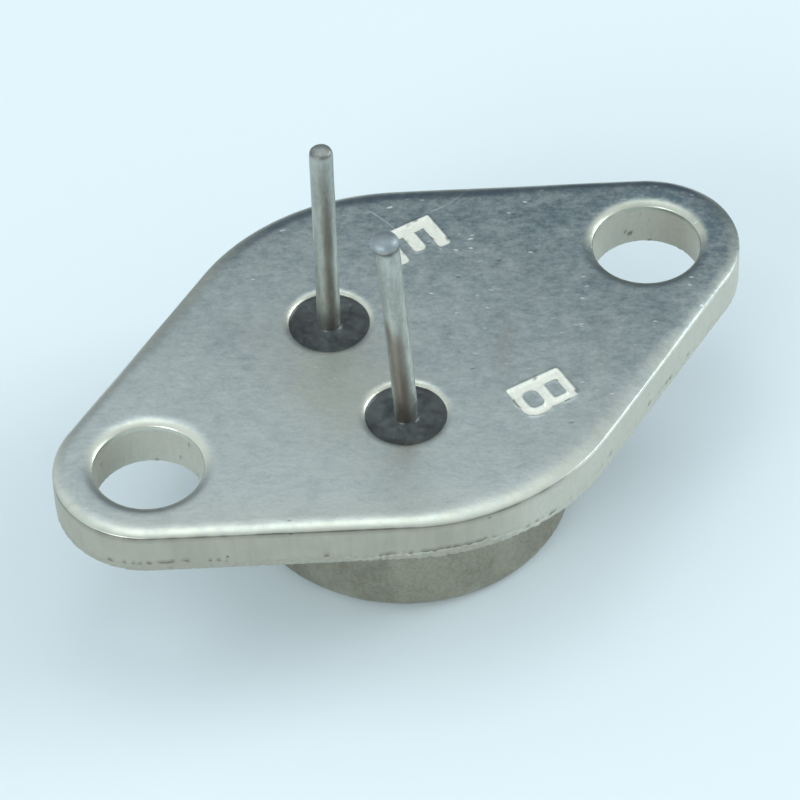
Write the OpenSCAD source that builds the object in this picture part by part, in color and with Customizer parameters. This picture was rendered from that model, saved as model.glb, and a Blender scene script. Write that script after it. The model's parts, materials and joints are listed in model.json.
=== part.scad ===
// Power transistor in a small diamond-flange metal case, with two leads and a welded can.
//
// The seating face, on the side of the leads, is the plane z = 0, with the midpoint
// between the two mounting holes at the origin. The leads point up, along +Z, and the
// holes lie along X. The can hangs below the plate, and everything inside it is drawn
// in a frame turned over onto the plate's inner face, by the module inner_side().

/* [Header plate] */
// Distance between the centres of the two mounting holes
hole_spacing = 19.6; // [18:0.1:24]
// Width of the plate across its waist, which is a round arc about the centre
waist_w = 15.8; // [14.5:0.05:19]
// Radius of the plate's two rounded ends, about the mounting holes
end_r = 3.2; // [2.8:0.05:4.5]
// Thickness of the plate
plate_t = 1.8; // [1.4:0.05:2.6]
// Radius of the rolled edge that blanking leaves round the seating face
edge_roll = 0.3; // [0.1:0.05:0.5]
// Height of the rough band where the blank broke away, at the foot of the edge
break_h = 0.55; // [0.2:0.05:0.8]
// Distance that the rough band draws in by its lower edge
break_set = 0.06; // [0.02:0.01:0.12]

/* [Mounting holes] */
// Diameter of each mounting hole
mount_hole_d = 3.7; // [2.8:0.05:4]
// Width of the broken edge round each mounting hole
mount_rim = 0.15; // [0.05:0.01:0.2]

/* [Leads] */
// Distance between the two leads
lead_pitch = 5.08; // [4.6:0.02:6]
// Distance of the leads from the midpoint between the mounting holes
lead_offset = 1.35; // [1:0.05:2]
// Diameter of a lead outside the glass, with its plating
lead_d = 0.8; // [0.6:0.02:1]
// Thickness of the plating on the part of a lead outside the glass
plating_t = 0.01; // [0.005:0.005:0.03]
// Height over which the plating thins out above the glass
plating_fade = 0.6; // [0.56:0.01:0.8]
// Length of the emitter lead above the seating face
emitter_lead_l = 8.1; // [5:0.05:14]
// Length of the base lead above the seating face, measured along its bend
base_lead_l = 8.35; // [5:0.05:14]
// Radius of the rounded edge at the outer end of a lead
lead_round = 0.2; // [0.05:0.01:0.25]
// Angle at which the base lead leans from upright, as it was bent in handling
base_lean = 3.2; // [0.5:0.1:6]
// Compass direction in which the base lead leans, counted from +X towards +Y
base_lean_way = 150; // [0:5:355]
// Radius of the bend at the foot of the base lead
lean_bend_r = 1.5; // [1:0.1:3]
// Diameter of the head on the inner end of a lead, where its wire is bonded
post_head_d = 1.3; // [1.1:0.05:1.6]
// Thickness of that head
post_head_t = 0.3; // [0.2:0.05:0.5]

/* [Glass seals] */
// Diameter of the glass, and of the hole in the plate that it fills
seal_d = 2.75; // [2.4:0.05:3.2]
// Depth of the glass's rim below the plate's face, on both sides
seal_recess = 0.12; // [0.05:0.01:0.2]
// Depth of the shallow dish in the glass, between the lead and the rim
seal_dish = 0.07; // [0.03:0.01:0.12]
// Width of the broken edge round each seal hole, on the seating face
seal_rim = 0.12; // [0.05:0.01:0.2]

/* [Can] */
// Outer diameter of the drawn can
can_d = 11.5; // [11:0.05:12.2]
// Height of the can below the plate
can_h = 5; // [3.6:0.05:7]
// Thickness of the can's sheet
can_wall = 0.35; // [0.25:0.05:0.5]
// Outer radius where the can's side turns into its flat end
can_corner_r = 0.7; // [0.6:0.05:1.2]
// Width of the weld flange outside the can
flange_w = 0.75; // [0.6:0.05:1]
// Radius where the can's side turns out into the flange
flange_root_r = 0.25; // [0.15:0.05:0.35]

/* [Chip and its mounting] */
// Diameter of the copper heat spreader
spreader_d = 4.8; // [4.5:0.05:4.9]
// Thickness of the heat spreader
spreader_t = 0.8; // [0.5:0.05:1.2]
// Gap between the glass seals and the heat spreader
spreader_gap = 0.3; // [0.2:0.05:0.4]
// Thickness of the braze under the heat spreader
braze_t = 0.05; // [0.03:0.01:0.1]
// Width of the square silicon chip
chip_w = 2.8; // [2.6:0.05:3]
// Thickness of the chip
chip_t = 0.25; // [0.2:0.01:0.4]
// Thickness of the solder under the chip
solder_t = 0.05; // [0.03:0.01:0.1]
// Bare border of the chip, round its metal pattern
chip_border = 0.25; // [0.2:0.01:0.3]
// Thickness of the metal pattern on the chip
metal_t = 0.02; // [0.01:0.005:0.04]
// Width of the bar of each comb, on which its wire is bonded
comb_bar_w = 0.7; // [0.65:0.01:0.75]
// Number of fingers on the emitter's comb, with one fewer on the base's
emitter_fingers = 4; // [3:1:6]
// Gap between the two combs
comb_gap = 0.08; // [0.05:0.01:0.1]
// Height of the protective coating above the chip
coat_over = 0.12; // [0.08:0.01:0.16]
// Width of the coating's sloping skirt
coat_slope = 0.12; // [0.08:0.01:0.2]

/* [Bond wires] */
// Diameter of the aluminium bond wires
wire_d = 0.3; // [0.2:0.02:0.34]
// Angle at which a wire rises from its feet
wire_climb = 50; // [40:1:60]
// Length of the flattened foot of a wire
foot_l = 0.55; // [0.45:0.01:0.6]
// Height of the flattened foot of a wire
foot_h = 0.18; // [0.14:0.01:0.19]

/* [Hidden] */
$fn = 96;

over = 1;                                   // how far a cutter runs past what it cuts
arc_overrun = 5;                            // angle by which a rim's arc passes a middle plane
hole_x = hole_spacing / 2;
waist_r = waist_w / 2;
shoulder_a = asin((waist_r - end_r) / hole_x);   // slope of the straight sides
side_l = hole_x * cos(shoulder_a);               // length of each straight side
seal_r = seal_d / 2;
lead_r = lead_d / 2;
pin_r = lead_r - plating_t;                      // radius of a lead inside the glass
foot_z = plating_fade - seal_recess;             // where a lead's full thickness begins
lean_bend_l = lean_bend_r * base_lean * PI / 180;   // length of the base lead's bend
can_r = can_d / 2;
flange_r = can_r + flange_w;

// Heights above the plate's inner face, in the frame of inner_side()
spreader_z = braze_t;
solder_z = spreader_z + spreader_t;
chip_z = solder_z + solder_t;
metal_z = chip_z + chip_t;
bond_z = metal_z + metal_t;                      // both ends of a wire are bonded at this height

spreader_x = seal_r - lead_offset + spreader_gap + spreader_d / 2;
metal_w = chip_w - 2 * chip_border;
pad_y = (metal_w - comb_bar_w) / 2;              // centre line of each comb's bar
finger_pitch = metal_w / (2 * emitter_fingers - 1);
finger_w = finger_pitch - comb_gap;
finger_l = metal_w - 2 * comb_bar_w - comb_gap;
coat_foot_r = spreader_d / 2 - 0.05;
coat_rim = chip_border - 0.05;                   // how far the coating reaches in over the chip
foot_r = 0.22;                                   // radius of a foot's rounded back
wire_overrun = 10;                               // angle by which a wire's arc passes its undersides

// Draws its children in a frame whose +Z points away from the plate's inner face.
module inner_side() {
    translate([0, 0, -plate_t]) mirror([0, 0, 1]) children();
}

// Places its children at one lead: side is 1 for the emitter's and -1 for the base's.
module at_lead(side) {
    translate([-lead_offset, side * lead_pitch / 2, 0]) children();
}

// Section of the plate's edge, from the line r = 0 out to radius r: the rolled corner at
// the seating face, the smooth land below it, and the rough band that draws in at the foot.
module edge_section(r) {
    translate([0, -plate_t]) square([r - edge_roll, plate_t]);
    polygon([
        [r - 2 * edge_roll, -edge_roll], [r, -edge_roll], [r, break_h - plate_t],
        [r - break_set, -plate_t], [r - 2 * edge_roll, -plate_t]
    ]);
    intersection() {
        translate([r - edge_roll, -edge_roll]) circle(r = edge_roll);
        translate([r - edge_roll, -edge_roll]) square(edge_roll + over);
    }
}

// Sector of a disc with the plate's edge on it, from the YZ plane over angle sweep_a.
module edge_sector(r, sweep_a) {
    rotate([0, 0, 90]) rotate_extrude(angle = sweep_a) edge_section(r);
}

// Rim of the quarter at +X, +Y: half the waist's arc, a straight side and half an end's arc.
// All three share the straight side's own frame, so that their ends meet exactly. The arcs
// run a little past the middle planes, where the quarter is cut off square.
module quarter_rim() {
    intersection() {
        translate([0, 0, -plate_t - over])
            cube([hole_x + end_r + over, waist_r + over, plate_t + 2 * over]);
        rotate([0, 0, -shoulder_a]) {
            edge_sector(waist_r, shoulder_a + arc_overrun);
            translate([0, waist_r - end_r, 0]) {
                rotate([90, 0, 90]) linear_extrude(side_l) edge_section(end_r);
                translate([side_l, 0, 0]) mirror([1, 0, 0])
                    edge_sector(end_r, 90 - shoulder_a + arc_overrun);
            }
        }
    }
}

// Middle of the plate, an eight-sided slab that reaches into every part of the rim.
module plate_core() {
    slope = [sin(shoulder_a), cos(shoulder_a)];
    end_corner = [hole_x, 0] + (end_r - 2 * edge_roll) * slope;
    waist_corner = (waist_r - 2 * edge_roll) * slope;
    quarter = [end_corner, waist_corner];
    translate([0, 0, -plate_t]) linear_extrude(plate_t) polygon([
        for (p = quarter) p,
        for (i = [1, 0]) [-quarter[i][0], quarter[i][1]],
        for (p = quarter) -p,
        for (i = [1, 0]) [quarter[i][0], -quarter[i][1]]
    ]);
}

// The blank of the plate, the same on both sides of both middle planes.
module plate_blank() {
    plate_core();
    for (flip_x = [0, 1], flip_y = [0, 1])
        mirror([flip_x, 0, 0]) mirror([0, flip_y, 0]) quarter_rim();
}

// Cutter for a round hole through the plate, with its upper edge broken by rim.
module plate_hole(d, rim) {
    translate([0, 0, -plate_t - over]) cylinder(d = d, h = plate_t + 2 * over);
    translate([0, 0, -rim]) cylinder(d1 = d, d2 = d + 2 * (rim + over), h = rim + over);
}

module header_plate() {
    color("silver") difference() {
        plate_blank();
        for (side = [-1, 1]) translate([side * hole_x, 0, 0]) plate_hole(mount_hole_d, mount_rim);
        for (side = [-1, 1]) at_lead(side) plate_hole(seal_d, seal_rim);
    }
}

// Half section of a straight-sided round solid, with its outer corner rounded by corner_r.
module round_section(r, h, corner_r) {
    square([r, h - corner_r]);
    square([r - corner_r, h]);
    intersection() {
        translate([r - corner_r, h - corner_r]) circle(r = corner_r);
        translate([r - corner_r, h - corner_r]) square(corner_r + over);
    }
}

// Corner left between two square faces by a fillet of radius r, with the corner at the origin.
module fillet_section(r) {
    difference() {
        square(r);
        translate([r, r]) circle(r = r);
    }
}

module can() {
    mouth_r = flange_root_r + can_wall;          // the sheet's outer bend, on the plate's side
    color("lightslategray") inner_side() rotate_extrude() difference() {
        union() {
            round_section(can_r, can_h, can_corner_r);
            square([flange_r, can_wall]);
            translate([can_r, can_wall]) fillet_section(flange_root_r);
        }
        round_section(can_r - can_wall, can_h - can_wall, can_corner_r - can_wall);
        translate([can_r - can_wall, 0]) fillet_section(mouth_r);
    }
}

// Glass bead in its hole round a lead, recessed and lightly dished on both faces.
module seal_glass() {
    bead_h = plate_t - 2 * seal_recess;
    mid_r = (seal_r + pin_r) / 2;
    half_w = (seal_r - pin_r) / 2;
    dish_r = (half_w * half_w + seal_dish * seal_dish) / (2 * seal_dish);
    translate([0, 0, -plate_t + seal_recess]) rotate_extrude() difference() {
        translate([pin_r, 0]) square([seal_r - pin_r, bead_h]);
        translate([mid_r, bead_h + dish_r - seal_dish]) circle(r = dish_r);
        translate([mid_r, seal_dish - dish_r]) circle(r = dish_r);
    }
}

// Inner end of a lead: a bonding head, the pin that passes up through the glass, and the
// foot above it, where the plating begins.
module lead_post() {
    inner_side() translate([0, 0, bond_z - post_head_t]) cylinder(d = post_head_d, h = post_head_t);
    translate([0, 0, post_head_t - bond_z - plate_t])
        cylinder(r = pin_r, h = bond_z - post_head_t + plate_t - seal_recess);
    translate([0, 0, -seal_recess]) cylinder(r1 = pin_r, r2 = lead_r, h = plating_fade);
}

// Plated outer end of a lead, of length l.
module lead_tip(l) {
    rotate_extrude() round_section(lead_r, l, lead_round);
}

module emitter_lead() {
    color("gainsboro") at_lead(1) {
        lead_post();
        translate([0, 0, foot_z]) lead_tip(emitter_lead_l - foot_z);
    }
}

module base_lead() {
    color("gainsboro") at_lead(-1) {
        lead_post();
        translate([0, 0, foot_z]) rotate([0, 0, base_lean_way])
            translate([lean_bend_r, 0, 0]) rotate([90, 0, 0]) rotate([0, 0, 180 - base_lean]) {
                rotate_extrude(angle = base_lean) translate([lean_bend_r, 0]) circle(r = lead_r);
                translate([lean_bend_r, 0, 0]) rotate([90, 0, 0])
                    lead_tip(base_lead_l - foot_z - lean_bend_l);
            }
    }
}

module emitter_seal_glass() {
    color("darkslategray") at_lead(1) seal_glass();
}

module base_seal_glass() {
    color("darkslategray") at_lead(-1) seal_glass();
}

// Places its children on the axis of the heat spreader, at height z inside the can.
module on_spreader(z) {
    inner_side() translate([spreader_x, 0, z]) children();
}

module spreader_braze() {
    color("lightgray") on_spreader(0) cylinder(d = spreader_d, h = braze_t);
}

module heat_spreader() {
    color("peru") on_spreader(spreader_z) cylinder(d = spreader_d, h = spreader_t);
}

// Square slab centred on the spreader's axis.
module slab(w, h) {
    translate([-w / 2, -w / 2, 0]) cube([w, w, h]);
}

module chip_solder() {
    color("darkgray") on_spreader(solder_z) slab(chip_w, solder_t);
}

module chip() {
    color("dimgray") on_spreader(chip_z) slab(chip_w, chip_t);
}

// Comb of count fingers that hang towards -Y from a bar along the +Y edge of the pattern.
module comb(count) {
    linear_extrude(metal_t) {
        translate([-metal_w / 2, metal_w / 2 - comb_bar_w]) square([metal_w, comb_bar_w]);
        for (i = [0 : count - 1])
            translate([(2 * i - count + 1) * finger_pitch - finger_w / 2,
                metal_w / 2 - comb_bar_w - finger_l]) square([finger_w, finger_l + comb_gap]);
    }
}

module emitter_metal() {
    color("white") on_spreader(metal_z) comb(emitter_fingers);
}

module base_metal() {
    color("white") on_spreader(metal_z) mirror([0, 1, 0]) comb(emitter_fingers - 1);
}

// Ring of coating over the chip's cut edges, open over the metal pattern.
module chip_coating() {
    coat_h = solder_t + chip_t + coat_over;
    color("gold", 0.6) on_spreader(solder_z) difference() {
        cylinder(r1 = coat_foot_r, r2 = coat_foot_r - coat_slope, h = coat_h);
        translate([0, 0, -over]) slab(chip_w, over + solder_t + chip_t);
        slab(chip_w - 2 * coat_rim, coat_h + over);
    }
}

// Flattened foot of a wire, centred on x = 0.
module wire_foot() {
    intersection() {
        translate([-foot_l / 2, 0, 0]) rotate([0, 90, 0]) cylinder(r = foot_r, h = foot_l);
        translate([-foot_l / 2, -foot_r, 0]) cube([foot_l, 2 * foot_r, foot_h]);
    }
}

// Round wire in one arc over its two feet, which are centred at x = 0 and x = span. Its ends
// run down through the feet and are cut off level with their undersides.
module wire_loop(span) {
    loop_r = span / (2 * sin(wire_climb));
    sweep_a = wire_climb + wire_overrun;
    wire_foot();
    translate([span, 0, 0]) wire_foot();
    intersection() {
        translate([span / 2, 0, -loop_r * cos(wire_climb)]) rotate([90, 0, 0])
            rotate([0, 0, 90 - sweep_a]) rotate_extrude(angle = 2 * sweep_a)
                translate([loop_r, 0]) circle(d = wire_d);
        translate([-foot_l, -foot_r, 0]) cube([span + 2 * foot_l, 2 * foot_r, loop_r]);
    }
}

// Wire from a comb's bar to the head of the lead on the same side.
module bond_wire(side) {
    dx = -lead_offset - spreader_x;
    dy = side * (lead_pitch / 2 - pad_y);
    color("whitesmoke") inner_side() translate([spreader_x, side * pad_y, bond_z])
        rotate([0, 0, atan2(dy, dx)]) wire_loop(sqrt(dx * dx + dy * dy));
}

module emitter_bond_wire() {
    bond_wire(1);
}

module base_bond_wire() {
    bond_wire(-1);
}

header_plate();
can();
emitter_seal_glass();
base_seal_glass();
emitter_lead();
base_lead();
spreader_braze();
heat_spreader();
chip_solder();
chip();
emitter_metal();
base_metal();
chip_coating();
emitter_bond_wire();
base_bond_wire();
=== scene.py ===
"""Looks for a power transistor in a small diamond-flange metal case.

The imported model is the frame. Lengths are worked out in millimetres and put into the
meshes in metres. The seating face is z = 0, the leads point along +Z, and the can hangs
below the plate. In names and comments near is towards -Y and -X, where the camera stands,
far is the other way, and left and right are -X and +X.

PLATING is the thickness of a lead's plating. NEAR, NEAR_RIGHT and WAIST_WAY are level
directions: to the near side, to where the plate's roll is widest, and along its near waist.
"""

from __future__ import annotations

import json
import logging
import math
from collections.abc import Mapping, Sequence
from dataclasses import dataclass, field
from enum import Enum
from typing import Any

import bmesh
import bpy
import numpy as np
from mathutils import Matrix, Vector
from mathutils.geometry import delaunay_2d_cdt

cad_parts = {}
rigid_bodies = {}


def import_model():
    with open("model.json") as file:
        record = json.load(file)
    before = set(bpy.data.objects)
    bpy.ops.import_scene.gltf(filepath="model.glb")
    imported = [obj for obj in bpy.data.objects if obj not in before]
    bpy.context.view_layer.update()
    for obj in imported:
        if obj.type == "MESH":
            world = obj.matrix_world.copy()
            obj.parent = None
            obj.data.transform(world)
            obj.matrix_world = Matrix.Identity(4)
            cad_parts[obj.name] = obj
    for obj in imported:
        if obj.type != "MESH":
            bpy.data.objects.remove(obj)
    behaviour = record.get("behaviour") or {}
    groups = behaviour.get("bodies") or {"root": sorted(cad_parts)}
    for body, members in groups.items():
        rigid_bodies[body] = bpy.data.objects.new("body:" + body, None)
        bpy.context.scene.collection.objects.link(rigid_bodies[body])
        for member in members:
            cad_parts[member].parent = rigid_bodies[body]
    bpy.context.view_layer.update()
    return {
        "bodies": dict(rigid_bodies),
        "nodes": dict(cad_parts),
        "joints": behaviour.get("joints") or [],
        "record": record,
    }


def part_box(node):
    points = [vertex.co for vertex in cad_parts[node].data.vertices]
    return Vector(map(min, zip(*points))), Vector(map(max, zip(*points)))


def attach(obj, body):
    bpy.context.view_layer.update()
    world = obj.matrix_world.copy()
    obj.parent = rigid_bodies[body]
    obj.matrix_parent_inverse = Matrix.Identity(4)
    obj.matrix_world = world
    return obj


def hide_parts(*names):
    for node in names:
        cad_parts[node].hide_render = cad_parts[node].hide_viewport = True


LOG = logging.getLogger("power_transistor")
MM = 0.001

PLATING = 0.01

NEAR = (-0.51, -0.86)
NEAR_RIGHT = (0.48, -0.88)
WAIST_WAY = (0.858, -0.513)

Array = np.ndarray
Spot = tuple[float, float]
Colour = tuple[float, float, float]
Material = bpy.types.Material
Object = bpy.types.Object


# ----------------------------------- shader maths


class MathStep(Enum):
    """The Math node operations that the finishes use."""

    ADD = "ADD"
    SUBTRACT = "SUBTRACT"
    MULTIPLY = "MULTIPLY"
    MAXIMUM = "MAXIMUM"
    SQRT = "SQRT"


class Signal:
    """A value that varies over a surface, so that shader maths reads as Python."""

    def __init__(self, graph: Graph, socket: bpy.types.NodeSocket) -> None:
        """Wraps a node's output, in the tree that it belongs to."""
        self.graph = graph
        self.socket = socket

    def _step(self, step: MathStep, *operands: Operand) -> Signal:
        """Adds the Math node for one operation on its operands."""
        values = dict(enumerate(operands))
        return self.graph.node("ShaderNodeMath", {"operation": step.value}, values)

    def __add__(self, other: Operand) -> Signal:
        """The sum, self + other."""
        return self._step(MathStep.ADD, self, other)

    def __radd__(self, other: float) -> Signal:
        """The sum, other + self."""
        return self._step(MathStep.ADD, other, self)

    def __sub__(self, other: Operand) -> Signal:
        """The difference, self - other."""
        return self._step(MathStep.SUBTRACT, self, other)

    def __rsub__(self, other: float) -> Signal:
        """The difference, other - self."""
        return self._step(MathStep.SUBTRACT, other, self)

    def __mul__(self, other: Operand) -> Signal:
        """The product, self * other."""
        return self._step(MathStep.MULTIPLY, self, other)

    def __rmul__(self, other: float) -> Signal:
        """The product, other * self."""
        return self._step(MathStep.MULTIPLY, other, self)

    def root(self) -> Signal:
        """The square root."""
        return self._step(MathStep.SQRT, self)

    def at_least(self, other: Operand) -> Signal:
        """The larger of this and other."""
        return self._step(MathStep.MAXIMUM, self, other)

    def size(self) -> Signal:
        """The absolute value, as the larger of this and its opposite."""
        return self.at_least(self * -1.0)

    def rise(self, low: float, high: float) -> Signal:
        """A smooth step: 0 at low, 1 at high and beyond. It falls where low is above high."""
        values = {"Value": self, "From Min": low, "From Max": high}
        return self.graph.node("ShaderNodeMapRange", {"interpolation_type": "SMOOTHSTEP"}, values)


Operand = Signal | float


class Graph:
    """The node tree of one material or of the world."""

    def __init__(self, owner: Material | bpy.types.World) -> None:
        """Starts an empty tree.

        Args:
            owner: The material or the world that it belongs to.
        """
        self.owner = owner
        owner.use_nodes = True
        self.tree = owner.node_tree
        self.tree.nodes.clear()

    @classmethod
    def of_material(cls, name: str) -> Graph:
        """The empty tree of a new material."""
        return cls(bpy.data.materials.new(name))

    def node(
        self,
        kind: str,
        settings: Mapping[str, Any] | None = None,
        values: Mapping[str | int, Any] | None = None,
        output: str | int | None = 0,
    ) -> Signal | None:
        """Adds one node. Its settings come first, then what goes into its sockets.

        Args:
            kind: The node's type.
            settings: Properties of the node.
            values: A number, colour or Signal for each input, by name or number.
            output: The output to hand back, by name or number, or None for an end node.

        Returns:
            The chosen output, if any.
        """
        made = self.tree.nodes.new(kind)
        for key, value in (settings or {}).items():
            setattr(made, key, value)
        for key, value in (values or {}).items():
            if isinstance(value, Signal):
                self.tree.links.new(value.socket, made.inputs[key])
            else:
                made.inputs[key].default_value = value
        return None if output is None else Signal(self, made.outputs[output])

    def place(self, turn_deg: float = 0.0, stretch: Colour = (1, 1, 1)) -> Signal:
        """The point on the object in millimetres, turned about Z and then stretched.

        Args:
            turn_deg: Angle that the pattern turns about Z.
            stretch: How many times denser the pattern is along each turned axis.

        Returns:
            The point, as a vector.
        """
        point = self.node("ShaderNodeTexCoord", output="Object")
        turned = self.node(
            "ShaderNodeMapping",
            {"vector_type": "POINT"},
            {"Vector": point, "Rotation": (0.0, 0.0, math.radians(turn_deg))},
        )
        scale = tuple(s / MM for s in stretch)
        return self.node("ShaderNodeVectorMath", {"operation": "MULTIPLY"}, {0: turned, 1: scale})

    def axes(self) -> tuple[Signal, Signal, Signal]:
        """The point's x, y and z in millimetres."""
        return self.parts(self.place())

    def parts(self, point: Signal) -> tuple[Signal, Signal, Signal]:
        """A vector's x, y and z."""
        kind, values = "ShaderNodeSeparateXYZ", {0: point}
        return tuple(self.node(kind, values=values, output=i) for i in range(3))

    def mask(self, kind: Mask) -> Signal:
        """A number that the mesh carries at each vertex."""
        return self.node("ShaderNodeAttribute", {"attribute_name": kind.value}, output="Fac")

    def noise(
        self,
        place: Signal,
        per_mm: float,
        detail: float = 3.0,
        rough: float = 0.55,
        warp: float = 0.0,
    ) -> Signal:
        """Cloudy noise about 0.5.

        Args:
            place: The point it is read at, in millimetres.
            per_mm: Lumps in a millimetre.
            detail: How many finer layers are added.
            rough: How strong the finer layers are.
            warp: How far the pattern is pulled about.

        Returns:
            The noise.
        """
        values = {"Vector": place, "Scale": per_mm, "Detail": detail}
        values |= {"Roughness": rough, "Distortion": warp}
        return self.node("ShaderNodeTexNoise", {"noise_dimensions": "3D"}, values)

    def specks(self, place: Signal, per_mm: float, radius: float, share: float = 1.0) -> Signal:
        """Small round specks, 1 at their middle.

        Args:
            place: The point they are read at, in millimetres.
            per_mm: Cells in a millimetre, with at most one speck in each.
            radius: A speck's radius as a share of its cell.
            share: The share of the cells that have one.

        Returns:
            The specks.
        """
        cells = {"Vector": place, "Scale": per_mm}
        away = self.node("ShaderNodeTexVoronoi", {"feature": "F1"}, cells, "Distance")
        dots = away.rise(radius, radius * 0.4)
        if share >= 1.0:
            return dots
        lot = self.node("ShaderNodeTexVoronoi", {"feature": "F1"}, cells, "Color")
        red = self.node("ShaderNodeSeparateColor", values={0: lot})
        return dots * red.rise(share + 0.02, share - 0.02)

    def dashes(
        self, way_deg: float, per_mm: float, length: float, radius: float, share: float
    ) -> Signal:
        """Specks drawn out to length times their width, which lie at way_deg from X."""
        way = self.place(-way_deg, (1.0 / length, 1.0, 1.0))
        return self.specks(way, per_mm, radius, share)

    def blend(self, share: Operand, first: Signal | Colour, second: Signal | Colour) -> Signal:
        """A colour between two others.

        Args:
            share: How much of the second there is, from 0 to 1.
            first: The colour at 0.
            second: The colour at 1.

        Returns:
            The colour.
        """
        ends = [c if isinstance(c, Signal) else (*c, 1.0) for c in (first, second)]
        settings = {"data_type": "RGBA", "clamp_factor": True}
        return self.node("ShaderNodeMix", settings, {0: share, 6: ends[0], 7: ends[1]}, 2)

    def bump(self, height: Signal, depth_mm: float, under: Signal | None = None) -> Signal:
        """A normal tilted by a height.

        Args:
            height: The height, from 0 to 1.
            depth_mm: What a height of 1 comes to, in millimetres.
            under: A normal that this one is added to.

        Returns:
            The normal.
        """
        values: dict[str | int, Any] = {"Height": height, "Distance": depth_mm * MM}
        if under is not None:
            values["Normal"] = under
        return self.node("ShaderNodeBump", values=values, output="Normal")

    def finish(self, **values: Any) -> Material:
        """Ends the tree with a Principled shader.

        Args:
            **values: A number, colour or Signal for each input, with _ for a space.

        Returns:
            The material.
        """
        inputs = {
            key.replace("_", " "): (*v, 1.0) if isinstance(v, tuple) else v
            for key, v in values.items()
        }
        shader = self.node("ShaderNodeBsdfPrincipled", values=inputs)
        self.node("ShaderNodeOutputMaterial", values={"Surface": shader}, output=None)
        return self.owner


# ----------------------------------- surfaces


class Mask(Enum):
    """Numbers that a mesh carries for its finish and for painted light and shade, each from 0 to
    1.
    """

    # Rubbed wear and painted highlights on rolled edges and rims.
    RUB = "rub"
    # Torn metal on the plate; on a lead, painted shade in a ring.
    TORN = "torn"
    # Real dirt and pits, and painted shade under the rolled edge, along the torn foot's break and
    # along the letters' walls; on a lead, a brown stain and painted dark reflection.
    SOIL = "soil"
    # Struck letter floors, and painted light on the plate's right-facing walls and in the bores.
    STAMP = "stamp"
    WALL = "wall"
    # Painted dark reflection on the plate's far edge and the holes' near rims; on a lead, its
    # bluish end.
    BLUED = "blued"


@dataclass
class Patch:
    """Part of a surface: vertices in millimetres, faces, and the masks at each vertex."""

    points: Array
    faces: list[Array]
    masks: dict[Mask, Array] = field(default_factory=dict)

    @classmethod
    def from_grid(
        cls,
        points: Array,
        masks: Mapping[Mask, Array] | None = None,
        round_trip: bool = True,
        flip: bool = False,
    ) -> Patch:
        """Joins a grid of points into quads.

        Each quad's corners are (r, c), (r, c+1), (r+1, c+1) and (r+1, c), so the face looks
        along the column step crossed into the row step, or the other way where it is flipped.

        Args:
            points: Rows by columns by 3.
            masks: Each mask, as an array that fits rows by columns.
            round_trip: Whether the last column joins the first.
            flip: Whether the faces look the other way.

        Returns:
            The patch.
        """
        rows, cols = points.shape[:2]
        index = np.arange(rows * cols).reshape(rows, cols)
        if round_trip:
            index = np.concatenate([index, index[:, :1]], axis=1)
        corners = [index[:-1, :-1], index[:-1, 1:], index[1:, 1:], index[1:, :-1]]
        quads = np.stack(corners[::-1] if flip else corners, axis=-1).reshape(-1, 4)
        flat = {m: np.broadcast_to(v, (rows, cols)).ravel() for m, v in (masks or {}).items()}
        return cls(points.reshape(-1, 3), [quads], flat)

    @classmethod
    def fill(cls, rims: Sequence[Array], z: float, up: bool) -> Patch:
        """Fills a flat outline and leaves its openings out.

        The rims are joined into triangles that keep each rim's own edges, and a triangle is
        dropped where its middle winds round an opening's rim.

        Args:
            rims: The outline's points, then those of each opening, each an array of n by 2.
            z: Height of the face.
            up: Whether the face looks up.

        Returns:
            The patch.
        """
        edges: list[tuple[int, int]] = []
        start = 0
        for rim in rims:
            count = len(rim)
            ring = np.arange(count)
            edges += list(zip((start + ring).tolist(), (start + (ring + 1) % count).tolist()))
            start += count
        flat = [Vector(p) for p in np.concatenate(rims).tolist()]
        coords, _, faces, *_ = delaunay_2d_cdt(flat, edges, [], 1, 1e-6)
        points = np.array([tuple(p) for p in coords])
        tris = np.array(faces)
        middles = points[tris].mean(axis=1)
        keep = cls._inside(middles, rims[0])
        for opening in rims[1:]:
            keep &= ~cls._inside(middles, opening)
        tris = tris[keep] if up else tris[keep][:, ::-1]
        return cls(np.column_stack([points, np.full(len(points), z)]), [tris])

    @staticmethod
    def _inside(points: Array, rim: Array) -> Array:
        """Whether points lie in a closed rim.

        A ray from such a point to the right crosses the rim an odd number of times.

        Args:
            points: The points, n by 2.
            rim: The rim's points in order, m by 2.

        Returns:
            Whether each point does.
        """
        a, b = rim, np.roll(rim, -1, axis=0)
        x, y = points[:, :1], points[:, 1:]
        spans = (a[:, 1] > y) != (b[:, 1] > y)
        drop = np.where(b[:, 1] == a[:, 1], 1.0, b[:, 1] - a[:, 1])
        cross = a[:, 0] + (y - a[:, 1]) * (b[:, 0] - a[:, 0]) / drop
        return (spans & (x < cross)).sum(axis=1) % 2 == 1


def add_mesh(name: str, points: Array, faces: Sequence[Sequence[int]], finish: Material) -> Object:
    """Adds an object.

    Args:
        name: The object's name.
        points: Its vertices, in metres.
        faces: The vertices' numbers in each face.
        finish: Its material.

    Returns:
        The object.
    """
    mesh = bpy.data.meshes.new(name)
    mesh.from_pydata(points.tolist(), [], faces)
    mesh.materials.append(finish)
    made = bpy.data.objects.new(name, mesh)
    bpy.context.scene.collection.objects.link(made)
    return made


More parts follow.
